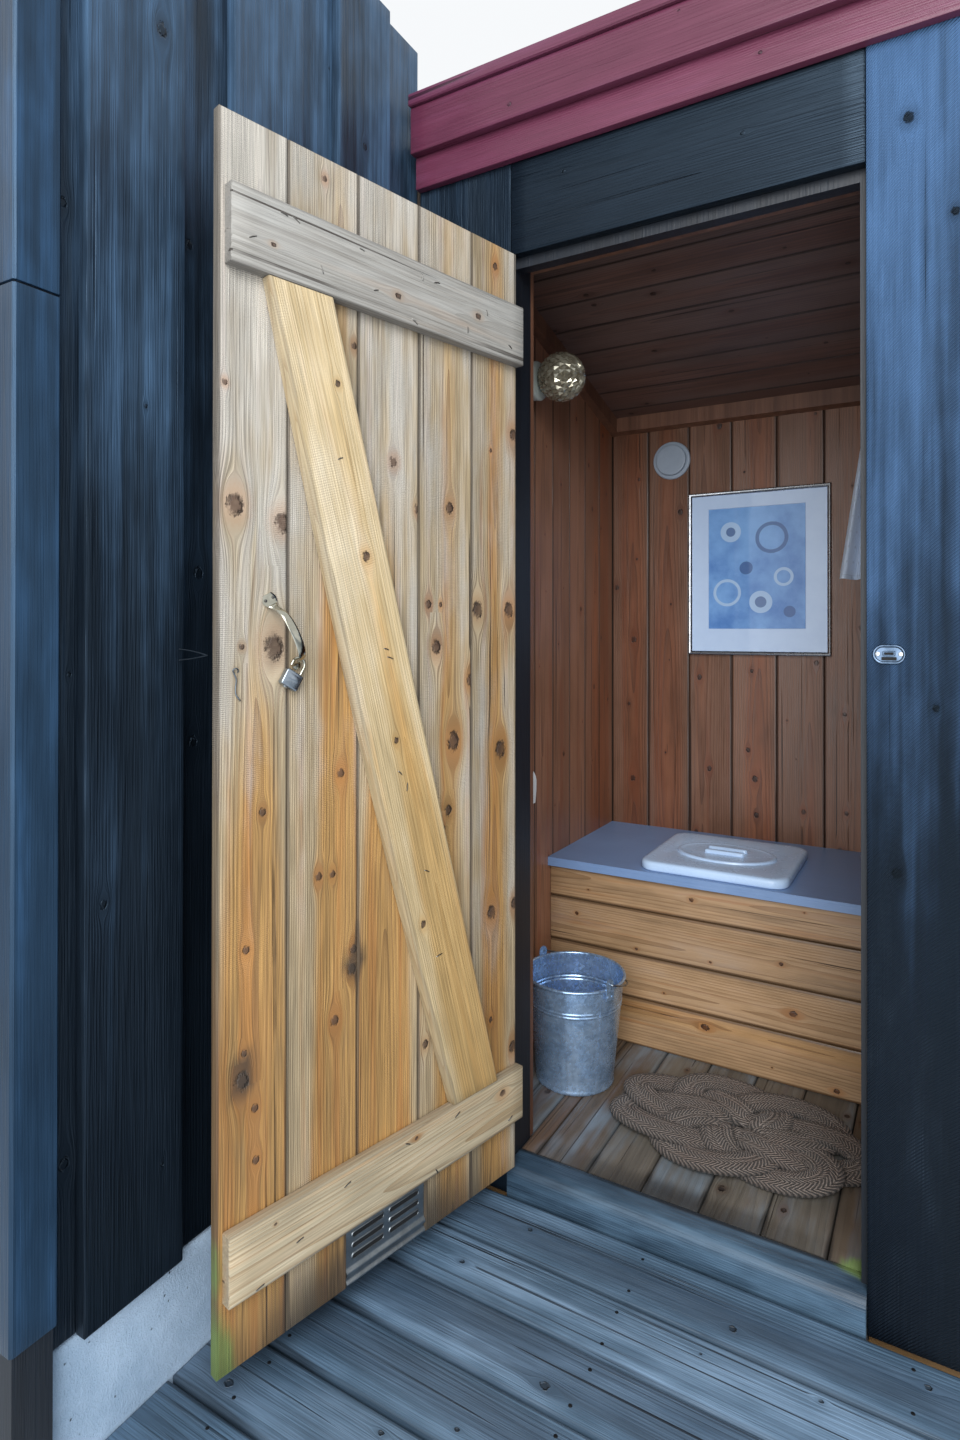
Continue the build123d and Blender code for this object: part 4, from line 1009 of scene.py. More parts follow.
def wing():
    """The short house wall in front of the door, its casing and its corner post."""
    box0, box1 = box_of("wing_cladding")
    # The wing's boards take a stronger lift: more painted sky sheen towards their tops.
    comb_cladding(
        "wing_comb_boards", (box0.x, box1.y, 0), -Y, X, box1.y - box0.y, 228, box0.z,
        lambda place: box1.z - 0.5, 100, "wing_cladding", (1.5, 0.62),
    )
    rng = random.Random(9)
    casing0, casing1 = box_of("corner_casing")
    joint = 1700
    boards = []
    wide = casing1.x - casing0.x
    section = eased_square(wide, 4, 0.5)
    for n, (z0, z1) in enumerate(((casing0.z, joint - 2), (joint + 2, casing1.z))):
        boards.append(Board(
            (casing0.x, casing0.y, z0), X, Z, Y, wide, z1 - z0, wide, 130 + n,
            tone=tones(rng, 0.05, 0.2, 0.3), section=section, ease=1.5, bow=0.3,
        ))
    lay_boards("corner_casing_boards", "cabin", M["casing"], boards, ["corner_casing"])
    dress("corner_post", "black_frame")
    dress("wing_wall", "panel")


def eased_square(wide, ease, inset):
    """Section of a square post with eased corners, as (across, depth, edge) points."""
    points = []
    near = inset
    far = wide - inset
    steps = 4
    corners = ((far, near, -1, 1), (far, far, -1, -1), (near, far, 1, -1), (near, near, 1, 1))
    for n, (a, d, sa, sd) in enumerate(corners):
        pair = [(a + sa * ease, d, 1.0), (a, d + sd * ease, 1.0)]
        if n % 2:
            pair.reverse()
        points += pair
        b = corners[(n + 1) % 4]
        for k in range(1, steps):
            t = k / steps
            points.append((a + (b[0] - a) * t, d + (b[1] - d) * t, 0.0))
    return points


def front_wall():
    """Two boards left of the door, the wide sawn one right of it and two over it."""
    p0, p1 = box_of("front_boards")
    tall = p1.z - p0.z
    thick = p1.y
    rng = random.Random(12)
    boards = []
    joint = p0.x / 2 - 4
    for n, (x0, x1) in enumerate(((p0.x, joint - 0.5), (joint + 0.5, -0.4))):
        boards.append(Board(
            (x1, thick, p0.z), -X, Z, -Y, x1 - x0, tall, thick, 150 + n,
            **own_look(rng, x1 - x0, tall, 420, 9), ease=2, bow=0.6,
        ))
    lay_boards("front_boards_left", "cabin", M["black"], boards, ["front_boards"])
    knots = [
        (p1.x - x, z, r) for x, z, r in (
            (905, 1655, 9), (893, 330, 8), (820, 1110, 6), (760, 820, 9), (850, 1950, 7), (780, 2130, 10),
        )
    ]
    lintel0, lintel1 = box_of("lintel_board")
    # The wide sawn board is dark at its foot and much lighter and greyer-blue at its top: painted sky sheen.
    board = Board(
        (p1.x, thick, p0.z), -X, Z, -Y, p1.x - lintel1.x - 0.3, tall, thick, 160, knots=knots,
        tone=(0.48, 0.5, -0.05), far_tone=(1.35, 0.5, 1.0), ease=2.4, bow=0.7,
    )
    lay_boards("front_board_right", "cabin", M["black_sawn"], [board], ["front_boards"])
    boards = []
    joint = lintel0.z + 205
    # The lintel boards are at half brightness: painted shade under the roof's overhang.
    for n, (z0, z1) in enumerate(((lintel0.z, joint - 0.6), (joint + 0.6, lintel1.z))):
        knots = wild_knots(rng, z1 - z0, lintel1.x, 400, 9)
        boards.append(Board(
            (0.3, thick, z0), Z, X, -Y, z1 - z0, lintel1.x - 0.6, thick, 170 + n, knots=knots,
            tone=(0.5, 0.5, -0.2), ease=3, bow=0.6,
        ))
    lay_boards("lintel_boards", "cabin", M["black"], boards, ["lintel_board"])
    dress("door_frame", "black_frame")


def side_walls():
    """Comb cladding of the right side and the back, and the walls behind it."""
    first = 118
    right0, right1 = box_of("right_cladding")
    back0, back1 = box_of("back_cladding")

    def roof(place):
        return ceiling(place.y) + 14.5

    comb_cladding(
        "right_comb_boards", (right1.x - 2 * CLAD, right1.y, 0), -Y, X, right1.y - right0.y, first, right0.z,
        roof, 200, "right_cladding",
    )
    comb_cladding(
        "back_comb_boards", (back0.x, back1.y - 2 * CLAD, 0), X, Y, back1.x - back0.x, first, back0.z,
        roof, 240, "back_cladding",
    )
    for node in ("left_wall", "right_wall", "back_wall", "roof_panel"):
        dress(node, "panel")


# Roof edge

def fascia():
    """Red boards round the roof's edge: three at the front, one at the side and back."""
    for part, seed in (("lower", 300), ("main", 301), ("cap", 302)):
        node = "fascia_" + part
        p0, p1 = box_of(node)
        long = p1.x - p0.x
        deep = p1.y - p0.y
        tall = p1.z - p0.z
        rng = random.Random(seed)
        tone = tones(rng, 0.04)
        if part == "cap":
            board = Board(p0, Y, X, Z, deep, long, tall, seed, tone=tone, ease=3, bow=0)
        else:
            knots = wild_knots(rng, tall, long, 500, 8)
            corner = (p0.x, p1.y, p0.z)
            board = Board(corner, Z, X, -Y, tall, long, deep, seed, tone=tone, knots=knots, ease=3, bow=0)
        lay_boards(node + "_board", "cabin", M["red"], [board], [node])
    p0, p1 = box_of("side_fascia")
    long = p1.y - p0.y
    slope = Vector((0, 1, -ROOF_FALL)).normalized()
    up = Vector((0, ROOF_FALL, 1)).normalized()
    upright = p1.z - p0.z - long * ROOF_FALL
    board = Board(
        (p0.x, p0.y, p1.z - upright), up, slope, X, upright * up.z, long / slope.y, p1.x - p0.x, 310,
        tone=(1, 0.5, 0.3), ease=2.5, bow=0, cut=(-ROOF_FALL, 0), foot_cut=(-ROOF_FALL, 0),
    )
    lay_boards("side_fascia_board", "cabin", M["red"], [board], ["side_fascia"])
    p0, p1 = box_of("back_fascia")
    inset = 6
    board = Board(
        (p0.x, p0.y, p0.z + inset), Z, X, Y, p1.z - p0.z - 2 * inset, p1.x - p0.x, p1.y - p0.y, 311,
        tone=(0.98, 0.5, 0.3), ease=2.5, bow=0,
    )
    lay_boards("back_fascia_board", "cabin", M["red"], [board], ["back_fascia"])


def roof_felt():
    """Three lapped strips of felt that run along the roof."""
    p0, p1 = box_of("roof_covering")
    strips = 3
    lap = 60
    count = 28
    shape = Shape()
    depth = (p1.y - p0.y) / strips
    for n in range(strips):
        y0 = p0.y + depth * n
        y1 = min(y0 + depth + lap, p1.y)
        drop = 2.4 - 3.0 * n / strips
        rings = []
        for k in range(count + 1):
            x = p0.x + (p1.x - p0.x) * k / count
            ring = []
            for y, lift in ((y0, -0.2), (y1, -0.2), (y1, -4.5), (y0, -4.5)):
                fall = (y - p0.y) * ROOF_FALL
                wave = 0.5 * noise.noise((x / 160, y / 90, n))
                ring.append((x, y, p1.z - 1.0 - fall + lift - drop + wave))
            rings.append(ring)
        shape.rings(rings)
    shape.finish("roof_felt_strips", "cabin", "roof_felt", M["felt"], ["roof_covering"])


# Ground works, deck and floor

def ground_works():
    """The cast plinth with worn faces, and the plain timbers and pads under it all."""
    p0, p1 = box_of("plinth")
    shape = Shape()
    rings = []
    count = 70
    rows = 12
    section = [(p1.x, p0.z + (p1.z - p0.z) * i / rows) for i in range(rows)]
    section += [(p1.x, p1.z - 7), (p1.x - 7, p1.z), (p0.x + 5, p1.z), (p0.x, p1.z - 5), (p0.x, p0.z)]
    for k in range(count + 1):
        y = p0.y + (p1.y - p0.y) * k / count
        ring = []
        for x, z in section:
            dent = abs(noise.noise((y / 90, z / 60, 1.7))) * 3.0
            dent += abs(noise.noise((y / 30, z / 25, 9.1))) * 1.2
            edge = 3.5 * max(0.0, noise.noise((y / 24, 4.0, z / 50))) if z > p1.z - 12 else 0.0
            ring.append((x - (dent if x > p0.x + 20 else -1), y, z - (edge if z > p0.z else 0)))
        rings.append(ring)
    shape.rings(rings)
    shape.finish("plinth_cast", "cabin", "concrete", M["concrete"], ["plinth"], 50)
    dress("footings", "concrete")
    dress("floor_frame", "timber")
    dress("deck_joists", "joist")


def deck():
    """Six deck boards with two screws in each joist."""
    p0, p1 = box_of("deck_boards")
    long = p1.x - p0.x
    rng = random.Random(21)
    boards = []
    screws = []
    joist0 = low("deck_joists").x
    joist1 = high("deck_joists").x
    half_joist = 23
    back = p1.y
    for row in range(6):
        front = p1.y - 134 - 130 * row
        boards.append(Board(
            (p1.x, front, p0.z - 0.5), Y, -X, Z, back - front, long, p1.z - p0.z, 320 + row,
            **own_look(rng, back - front, long, 300, 9, 0.12, 0.3, 0.4), ease=3, bow=0.8,
        ))
        for x in (joist0 + half_joist, (joist0 + joist1) / 2, joist1 - half_joist):
            screws += [(x + rng.uniform(-5, 5), y, p1.z - 0.6) for y in (front + 24, back - 24)]
        back = front - 8
    stains = [("dirt", (-200, -400, 0), (160, 700, 60), 0.6)]
    lay_boards("deck_planks", "cabin", M["deck"], boards, ["deck_boards"], stains)
    heads("deck_screws", "cabin", "hinge", screws, Z, 3.6)


def floor():
    """Floor boards, which reach into the doorway between its jambs."""
    p0, p1 = box_of("floor_boards")
    rng = random.Random(31)
    joints = [41 + 120 * k for k in range(-2, 8)]
    edges = [p0.x] + [x for x in joints if p0.x + 20 < x < p1.x - 20] + [p1.x]
    jamb = high("threshold").x - 11
    boards = []
    for n in range(len(edges) - 1):
        x0 = edges[n] + 1.5
        x1 = edges[n + 1] - 1.5
        spans = [(x0, x1, p0.y if x0 > -1 and x1 < jamb else ROOM_FRONT)]
        if x0 < 0 < x1:
            spans = [(x0, -1, ROOM_FRONT), (1, x1, p0.y)]
        elif x0 < jamb < x1:
            spans = [(x0, jamb - 1, p0.y), (jamb + 1, x1, ROOM_FRONT)]
        for a0, a1, front in spans:
            long = p1.y - front
            boards.append(Board(
                (a0, front, p0.z - 0.4), X, Y, Z, a1 - a0, long, p1.z - p0.z, 340 + n,
                **own_look(rng, a1 - a0, long, 330, 9, 0.12, 0.3, 0.4), ease=1.8, bow=0.6,
            ))
    stains = [("moss", (700, 52, FLOOR), (52, 45, 40), 0.85), ("dirt", (350, 60, FLOOR), (500, 70, 60), 0.7)]
    lay_boards("floor_planks", "cabin", M["floor"], boards, ["floor_boards"], stains)


def threshold():
    """The sill with its rounded nose."""
    p0, p1 = box_of("threshold")
    deep = p1.y - p0.y
    tall = p1.z - p0.z
    nose = 24
    section = [(0, tall * 0.55, 0.0), (0, tall * 0.3, 0.0), (0, 2, 1.0), (1, 0, 1.0), (deep / 2, 0, 0)]
    section += [(deep, 0, 0.2), (deep, tall - 2, 1.0), (deep - 1.5, tall, 1.0)]
    section += [(deep * 0.8, tall, 0.0), (deep * 0.55, tall, 0.0)]
    for i in range(6, -1, -1):
        across, up = polar(nose, 15 * i)
        section.append((nose - across, tall - nose + up, 0.4))
    board = Board(
        p0, Y, X, Z, deep, p1.x - p0.x, tall, 360, tone=(1.0, 0.5, 0.5), section=section, ease=2, bow=0,
    )
    stains = [("moss", (704, 52, FLOOR), (60, 40, 40), 0.9), ("dirt", (300, 55, FLOOR), (700, 26, 30), 0.8)]
    lay_boards("threshold_nosed", "cabin", M["sill"], [board], ["threshold"], stains)


# Room

def lining():
    """Upright boards on three walls of the room and boards along the sloping ceiling."""
    rng = random.Random(51)
    thick = 14
    joint = 0.6
    foot = FLOOR + 0.5
    back_wide = 141
    edges = [ROOM_LEFT]
    while edges[-1] + back_wide < ROOM_RIGHT - 30:
        edges.append(edges[-1] + back_wide - (9 if len(edges) == 1 else 0))
    edges.append(ROOM_RIGHT)
    long = ceiling(ROOM_BACK) - FLOOR - 1
    boards = []
    for n, (x0, x1) in enumerate(zip(edges, edges[1:])):
        boards.append(Board(
            (x1 - joint / 2, ROOM_BACK + thick, foot), -X, Z, -Y, x1 - x0 - joint, long, thick, 400 + n,
            **own_look(rng, x1 - x0, long, 200, 11, 0.14, 0.35, 0.3), ease=3.2, bow=0.3,
        ))
    lay_boards("back_lining_boards", "cabin", M["lining"], boards, ["lining_back"])
    # The left lining is made 1.75 times brighter: painted light from the doorway on that wall.
    for side, sign, face, bright, seed in (
        ("left", 1, ROOM_LEFT, 1.75, 430), ("right", -1, ROOM_RIGHT, 1.0, 460),
    ):
        boards = []
        wide = 123
        y = ROOM_BACK
        while y > ROOM_FRONT + 5:
            y0 = max(y - wide, ROOM_FRONT)
            start_y = y0 if side == "left" else y
            long = ceiling(start_y) - FLOOR - 1.5
            boards.append(Board(
                (face - sign * thick, start_y, foot), Y * sign, Z, X * sign, y - y0 - joint, long, thick,
                seed + len(boards), knots=wild_knots(rng, wide, long, 240, 10),
                tone=(rng.uniform(0.85, 1.15) * bright, rng.uniform(0.2, 0.8), 0.3),
                ease=3.2, bow=0.3, cut=(-ROOF_FALL * sign, 0),
            ))
            y = y0
        lay_boards(side + "_lining_boards", "cabin", M["lining"], boards, ["lining_" + side])
    dress("lining_front", "lining_plain")
    right = high("lining_right").x - 1
    long = right - low("lining_left").x - 1
    knot_run = 990
    slope = Vector((0, 1, -ROOF_FALL)).normalized()
    down = Vector((0, -ROOF_FALL, -1)).normalized()
    first_y = 24
    length = (low("back_wall").y - first_y) / slope.y
    thick = 13.5
    wide = 118
    at = 0.0
    boards = []
    while at < length - 5:
        strip = min(wide, length - at)
        y = first_y + at * slope.y
        corner = Vector((right, y, ceiling(y) + 0.3)) - down * thick
        boards.append(Board(
            corner, slope, -X, down, strip - joint, long, thick, 480 + len(boards),
            **own_look(rng, strip, knot_run, 330, 9, 0.12, 0.3, 0.3), ease=2.6, bow=0.2,
        ))
        at += strip
    lay_boards("ceiling_boards", "cabin", M["ceiling"], boards, ["ceiling"])
    dress("cornice", "lining_plain")


def bench():
    """Four boards of the bench's front, and its painted top."""
    p0, p1 = box_of("bench_front")
    long = p1.x - p0.x
    rng = random.Random(71)
    boards = []
    for n, (z0, z1) in enumerate(((60, 190), (192, 311), (313, 439), (441, p1.z))):
        boards.append(Board(
            (p0.x, p1.y, z0), Z, X, -Y, z1 - z0, long, p1.y - p0.y, 520 + n,
            **own_look(rng, z1 - z0, long, 230, 10, 0.08, 0.3, 0.2), ease=4, bow=0.3,
        ))
    lay_boards("bench_front_boards", "cabin", M["bench"], boards, ["bench_front"])
    dress("bench_top", "bench_paint")


# Fittings

def smooth_line(points, each):
    """A smooth line through the points, with some steps from each to the next."""
    points = [Vector(p) for p in points]
    line = []
    for i in range(len(points) - 1):
        before = points[max(i - 1, 0)]
        a = points[i]
        b = points[i + 1]
        after = points[min(i + 2, len(points) - 1)]
        for k in range(each):
            t = k / each
            square = (2 * before - 5 * a + 4 * b - after) * t * t
            cube = (3 * a - before - 3 * b + after) * t ** 3
            line.append(0.5 * (2 * a + (b - before) * t + square + cube))
    return line + [points[-1]]


def rounded_outline(wide, high, radius, steps):
    """Points round a rectangle with round corners, about its middle."""
    points = []
    for corner in range(4):
        side_x = wide / 2 - radius if corner in (0, 3) else radius - wide / 2
        side_y = high / 2 - radius if corner < 2 else radius - high / 2
        for k in range(steps + 1):
            x, y = polar(radius, 90 * (corner + k / steps))
            points.append((side_x + x, side_y + y))
    return points


def moulded(shape, wide, high, radius, levels, move=None, steps=5):
    """A plate with round corners, as outlines at (inset, height) from its foot up."""
    rings = []
    for inset, height in levels:
        ring = rounded_outline(wide - 2 * inset, high - 2 * inset, max(radius - inset, 0.5), steps)
        rings.append([(x, y, height) for x, y in ring])
    shape.rings(rings, move)


def lamp():
    """Glazed wall base with vent holes drawn as near-black discs of painted shade, cable, and a globe of
    pressed smoked glass.
    """
    centre = middle("lamp_globe")
    move = on_axes((ROOM_LEFT, centre.y, centre.z), Y, Z, X)
    radius = 54
    deep = 50
    outline = [
        (0, 0.2), (radius - 4, 0.2), (radius, 3), (radius, 14), (radius - 2, 16), (radius - 2, 37),
        (radius, 39), (radius, 44), (radius - 3, 48), (radius - 12, deep), (0, deep),
    ]
    shape = Shape()
    shape.turned(outline, 64, move)
    shape.finish("lamp_base_glazed", "cabin", "white_ceramic", M["glaze"], ["lamp_base"])
    holes = Shape()
    count = 26
    hole_shade = [(0, 0), (2.6, 0), (2.6, 1.0), (2.2, 1.1), (0, 1.1)]
    for k in range(count):
        y, z = polar(1, 360 * k / count)
        out = Y * y + Z * z
        spot = Vector((ROOM_LEFT + 9, centre.y, centre.z)) + out * (radius - 0.8)
        holes.turned(hole_shade, 10, on_axes(spot, X, out.cross(X), out))
    holes.finish("lamp_base_holes", "cabin", "white_ceramic", M["hole_shade"])
    cable = Shape()
    top = high("lamp_base").z
    foot = centre.z + radius - 4
    x = ROOM_LEFT + 3.6
    path = [(x, centre.y + 1.2 * math.sin(i * 1.9), foot + (top - foot) * i / 12) for i in range(13)]
    cable.tube(path, 2.8, 10)
    cable.finish("lamp_cable", "cabin", "white_ceramic", M["vent"])
    globe_glass(centre)


def globe_glass(centre):
    """Globe with rows of raised diamonds between its neck and its crown."""
    around = 20
    rows = 12
    ball = 63.5
    raised = 67.4
    inner_ball = 58
    first = 20
    last = 174
    neck_x = low("lamp_globe").x
    ball_centre = Vector((neck_x + polar(raised, first)[0] - 0.5, centre.y, centre.z))
    move = on_axes(ball_centre, Y, Z, X)

    def place(row, k):
        along, out = polar(ball, first + (last - first) * row / rows)
        return move((*polar(out, 360 * (k + 0.5 * (row % 2)) / around), -along))

    points = []
    faces = []
    for row in range(rows + 1):
        points += [place(row, k) for k in range(around)]
    for row in range(rows - 1):
        for k in range(around):
            left = (row + 1) * around + (k + row % 2 - 1) % around
            right = (row + 1) * around + (k + row % 2) % around
            far = (row + 2) * around + k
            near = row * around + k
            tip = len(points)
            mean = (points[near] + points[far]) / 2 - ball_centre
            points.append(ball_centre + mean.normalized() * raised)
            faces += [[near, right, tip], [right, far, tip], [far, left, tip], [left, near, tip]]
    end = rows * around
    under = end - around
    for k in range(around):
        other = (k + 1) % around
        faces.append([k, around + k, other])
        faces.append([end + k, end + other, under + k])
    faces.append(list(range(around)))
    faces.append([end + k for k in range(around)][::-1])
    inner = Shape()
    outline = [(0, 0)]
    for i in range(17):
        along, out = polar(inner_ball, first + (last - first) * i / 16)
        outline.append((out, inner_ball - along))
    inner.turned(outline, 32, on_axes(ball_centre - X * inner_ball, Y, Z, X))
    start = len(points)
    points += inner.points
    faces += [[start + i for i in face][::-1] for face in inner.faces]
    piece("lamp_globe_pressed", "cabin", M["smoked"], points, faces, ["lamp_globe"], None, 5)


def vent_disc():
    """Round room vent: a wall ring and a dished valve in front of it."""
    centre = middle("vent_disc")
    outline = [
        (0, 0.2), (63, 0.2), (64, 2), (63.5, 5), (61, 7.4), (56, 8.4), (52, 8), (50, 6), (46, 6),
        (46, 11), (51, 12), (51.5, 15), (49.5, 17), (44, 17.8), (28, 16.6), (10, 16), (0, 16),
    ]
    shape = Shape()
    shape.turned(outline, 72, on_axes((centre.x, ROOM_BACK, centre.z), X, -Z, -Y))
    shape.finish("vent_disc_valve", "cabin", "white_plastic", M["vent"], ["vent_disc"])


def on_wall(window, depth, inset=0):
    """Corners of an upright rectangle at some depth in front of the room's back wall."""
    x0, x1, z0, z1 = [edge + move for edge, move in zip(window, (inset, -inset, inset, -inset))]
    y = ROOM_BACK - depth
    return [(x0, y, z0), (x1, y, z0), (x1, y, z1), (x0, y, z1)]


def picture():
    """Mitred silver frame, mount with a bevelled window, and a print of plain discs."""
    p0, p1 = box_of("picture_frame")
    shape = Shape()
    section = [
        (0, 0.2), (0, 14.5), (1.2, 16.6), (3.5, 17.8), (6.5, 17.2), (9.5, 15), (11.5, 13), (12, 11),
        (12, 7),
    ]
    corners = [(p0.x, p0.z, 1, 1), (p1.x, p0.z, -1, 1), (p1.x, p1.z, -1, -1), (p0.x, p1.z, 1, -1)]
    rings = [[(x + sx * o, ROOM_BACK - h, z + sz * o) for o, h in section] for x, z, sx, sz in corners]
    shape.rings(rings + [rings[0]], closed=False, ends=(False, False))
    edge = (p0.x, p1.x, p0.z, p1.z)
    shape.add(on_wall(edge, 0.2, 0.5), [[0, 1, 2, 3]])
    shape.finish("picture_rim", "cabin", "silver_frame", M["silver"], ["picture_frame"])
    window = (p0.x + 65, p1.x - 74, p0.z + 84, p1.z - 55)
    mount = Shape()
    rings = [
        on_wall(edge, 7.0, 11), on_wall(edge, 10.0, 11), on_wall(window, 10.0), on_wall(window, 8.4, 1.6),
    ]
    mount.rings(rings, ends=(True, False))
    mount.finish("picture_mount", "cabin", "print_paper", M["mount"], ["picture_print"])
    sheet = Shape()
    sheet.rings([on_wall(window, 7.2), on_wall(window, 8.3)])
    sheet.finish("picture_art", "cabin", "print_paper", print_of_discs(window))


def print_of_discs(window):
    """A blue wash with pale and dark discs and rings, all made by formulas."""
    m = Shader("print_blue_discs")
    x, z = m.object_place()[::2]
    corner = placed((window[0], 0, window[2]))
    wide = (window[1] - window[0]) * MM
    top = (window[3] - window[2]) * MM / wide
    u = (x - corner.x) / wide
    v = (z - corner.z) / wide
    wash = m.noise(m.vector(u * 3, v * 3, 0.3), 1.0, 5.0, 0.6)
    grain = m.noise(m.vector(x * 900, z * 900, 0.1), 1.0, 2.0)
    base = m.mix((wash * 1.6 - 0.4 + v * 0.25).step(0.0, 1.0), rgb("3e76c0"), rgb("80b2ea"))
    pale = rgb("b4d0ee")
    deep = rgb("24508e")
    for at_u, at_v, radius, thick, colour in (
        (0.24, 0.80, 0.11, 1.0, pale), (0.66, 0.74, 0.17, 0.22, deep), (0.40, 0.50, 0.07, 1.0, deep),
        (0.78, 0.42, 0.10, 0.3, pale), (0.20, 0.30, 0.15, 0.2, pale), (0.55, 0.22, 0.12, 1.0, pale),
        (0.84, 0.14, 0.06, 1.0, deep), (0.55, 0.22, 0.06, 1.0, deep), (0.24, 0.80, 0.05, 1.0, deep),
    ):
        du = u - at_u
        dv = v - at_v * top
        away = m.math("SQRT", du * du + dv * dv) / radius + (wash - 0.5) * 0.12
        disc = 1.0 - away.step(0.96, 1.0)
        if thick < 1:
            disc = disc * away.step(1 - thick - 0.04, 1 - thick)
        base = m.mix(disc * 0.8, base, colour)
    base = m.shade(base, 0.92 + grain * 0.16)
    return m.finish(base, 0.4 + grain * 0.1, Coat_Weight=1.0, Coat_Roughness=0.03)


def paper_roll():
    """A part-used roll with its loose end hanging at the wall side."""
    centre = middle("paper_roll")
    half = 50
    outer = 36.8
    move = on_axes(centre, X, Z, Y)
    outline = [(18.4, half - 1), (18.8, half), (30, half - 0.5), (35.5, half), (36.6, half - 1.4)]
    outline = [(r, -h) for r, h in outline] + [(outer, 0)] + outline[::-1]
    shape = Shape()
    rings = [[(*polar(r, 360 * k / 56), h) for k in range(56)] for r, h in outline]
    shape.rings(rings + [rings[0]], move, ends=(False, False))
    shape.finish("paper_roll_wound", "cabin", "paper", M["tissue"], ["paper_roll"])
    end = Shape()
    line = [(outer * math.cos(a), outer * math.sin(a)) for a in (1.1, 0.9, 0.7, 0.5, 0.3, 0.1, 0.0)]
    line += [(36.9, -10), (36.6, -24), (35.6, -38), (34.2, -50), (33.4, -58)]
    edge = half - 1.5
    thick = 0.5
    rings = []
    for n, (out, up) in enumerate(line):
        wave = 0.6 * math.sin(n * 0.9)
        ring = [(out, up, -edge), (out + wave, up, 0), (out, up, edge)]
        rings.append(ring + [(x + thick, y, z) for x, y, z in ring[::-1]])
    end.rings(rings, move)
    end.finish("paper_loose_end", "cabin", "paper", M["tissue"])


def wall_pegs():
    """The knob over the roll and the peg that carries the towel."""
    knob = low("wall_pegs") + Vector((10, 10, 10))
    peg = high("wall_pegs") - Vector((18, 18, 18))
    shape = Shape()
    outline = [
        (0, 0.2), (9, 0.2), (9.4, 1.6), (7, 2.6), (4, 4), (3.6, 9), (6, 11), (9.4, 13.6), (10, 16.5),
        (8, 19.6), (4, 20.8), (0, 21),
    ]
    shape.turned(outline, 28, on_axes((ROOM_LEFT, knob.y, knob.z), Y, Z, X))
    outline = [
        (0, 0.2), (17.4, 0.2), (18, 2), (16, 4.6), (9, 5.8), (6, 9), (5.4, 16), (5.2, 40), (6, 44),
        (5.8, 48), (4, 49.8), (0, 50),
    ]
    shape.turned(outline, 32, on_axes((ROOM_RIGHT, peg.y, peg.z), Y, Z, -X))
    shape.finish("wall_knob_and_peg", "cabin", "steel", M["knob"], ["wall_pegs"])


def towel():
    """A cloth gathered at the peg, in folds whose length stays the cloth's width."""
    flat_wide = 330
    flat_long = 600
    waves = 3
    columns = 96
    rows = 44
    thick = 0.5
    p0, p1 = box_of("towel")
    start_x = p1.x - 6
    centre_y = (p0.y + p1.y) / 2
    top = p1.z - 1

    def spread(share):
        return 34 + (start_x - p0.x - 40) * share ** 0.8

    def fold(share, reach, swing, t):
        angle = 2 * math.pi * waves * t + 0.5 * math.sin(3 * share) + 0.35 * math.sin(2 * math.pi * t)
        return Vector((start_x - reach * t, centre_y + swing * math.sin(angle), 0))

    def length(share, reach, swing):
        line = [fold(share, reach, swing, k / columns) for k in range(columns + 1)]
        return sum((b - a).length for a, b in zip(line, line[1:]))

    points = []
    cloth = []
    for row in range(rows + 1):
        share = row / rows
        reach = spread(share)
        small = 0.0
        large = 40.0
        for halving in range(24):
            swing = (small + large) / 2
            if length(share, reach, swing) < flat_wide:
                small = swing
            else:
                large = swing
        for k in range(columns + 1):
            t = k / columns
            point = fold(share, reach, swing, t)
            point.z = top - flat_long * share - 1.5 * math.sin(9 * t + 1) * share
            points.append(point)
            cloth.append((t * flat_wide * MM, share * flat_long * MM, 0.0))
    wide = columns + 1
    normals = []
    for row in range(rows + 1):
        for k in range(wide):
            across = points[row * wide + min(k + 1, columns)] - points[row * wide + max(k - 1, 0)]
            normals.append(across.cross(Z).normalized() * thick)
    faces = []
    for row in range(rows):
        for k in range(columns):
            a = row * wide + k
            faces.append([a, a + wide, a + wide + 1, a + 1])
    count = len(points)
    both = [p + n for p, n in zip(points, normals)] + [p - n for p, n in zip(points, normals)]
    faces += [[count + i for i in face][::-1] for face in faces]
    edge = list(range(wide)) + [row * wide + columns for row in range(1, rows + 1)]
    edge += [rows * wide + k for k in range(columns - 1, -1, -1)]
    edge += [row * wide for row in range(rows - 1, 0, -1)]
    for a, b in zip(edge, edge[1:] + edge[:1]):
        faces.append([a, b, count + b, count + a])
    layers = {"cloth": cloth + cloth}
    hung = piece("towel_hung", "cabin", M["towel"], both, faces, ["towel"], layers, 60)


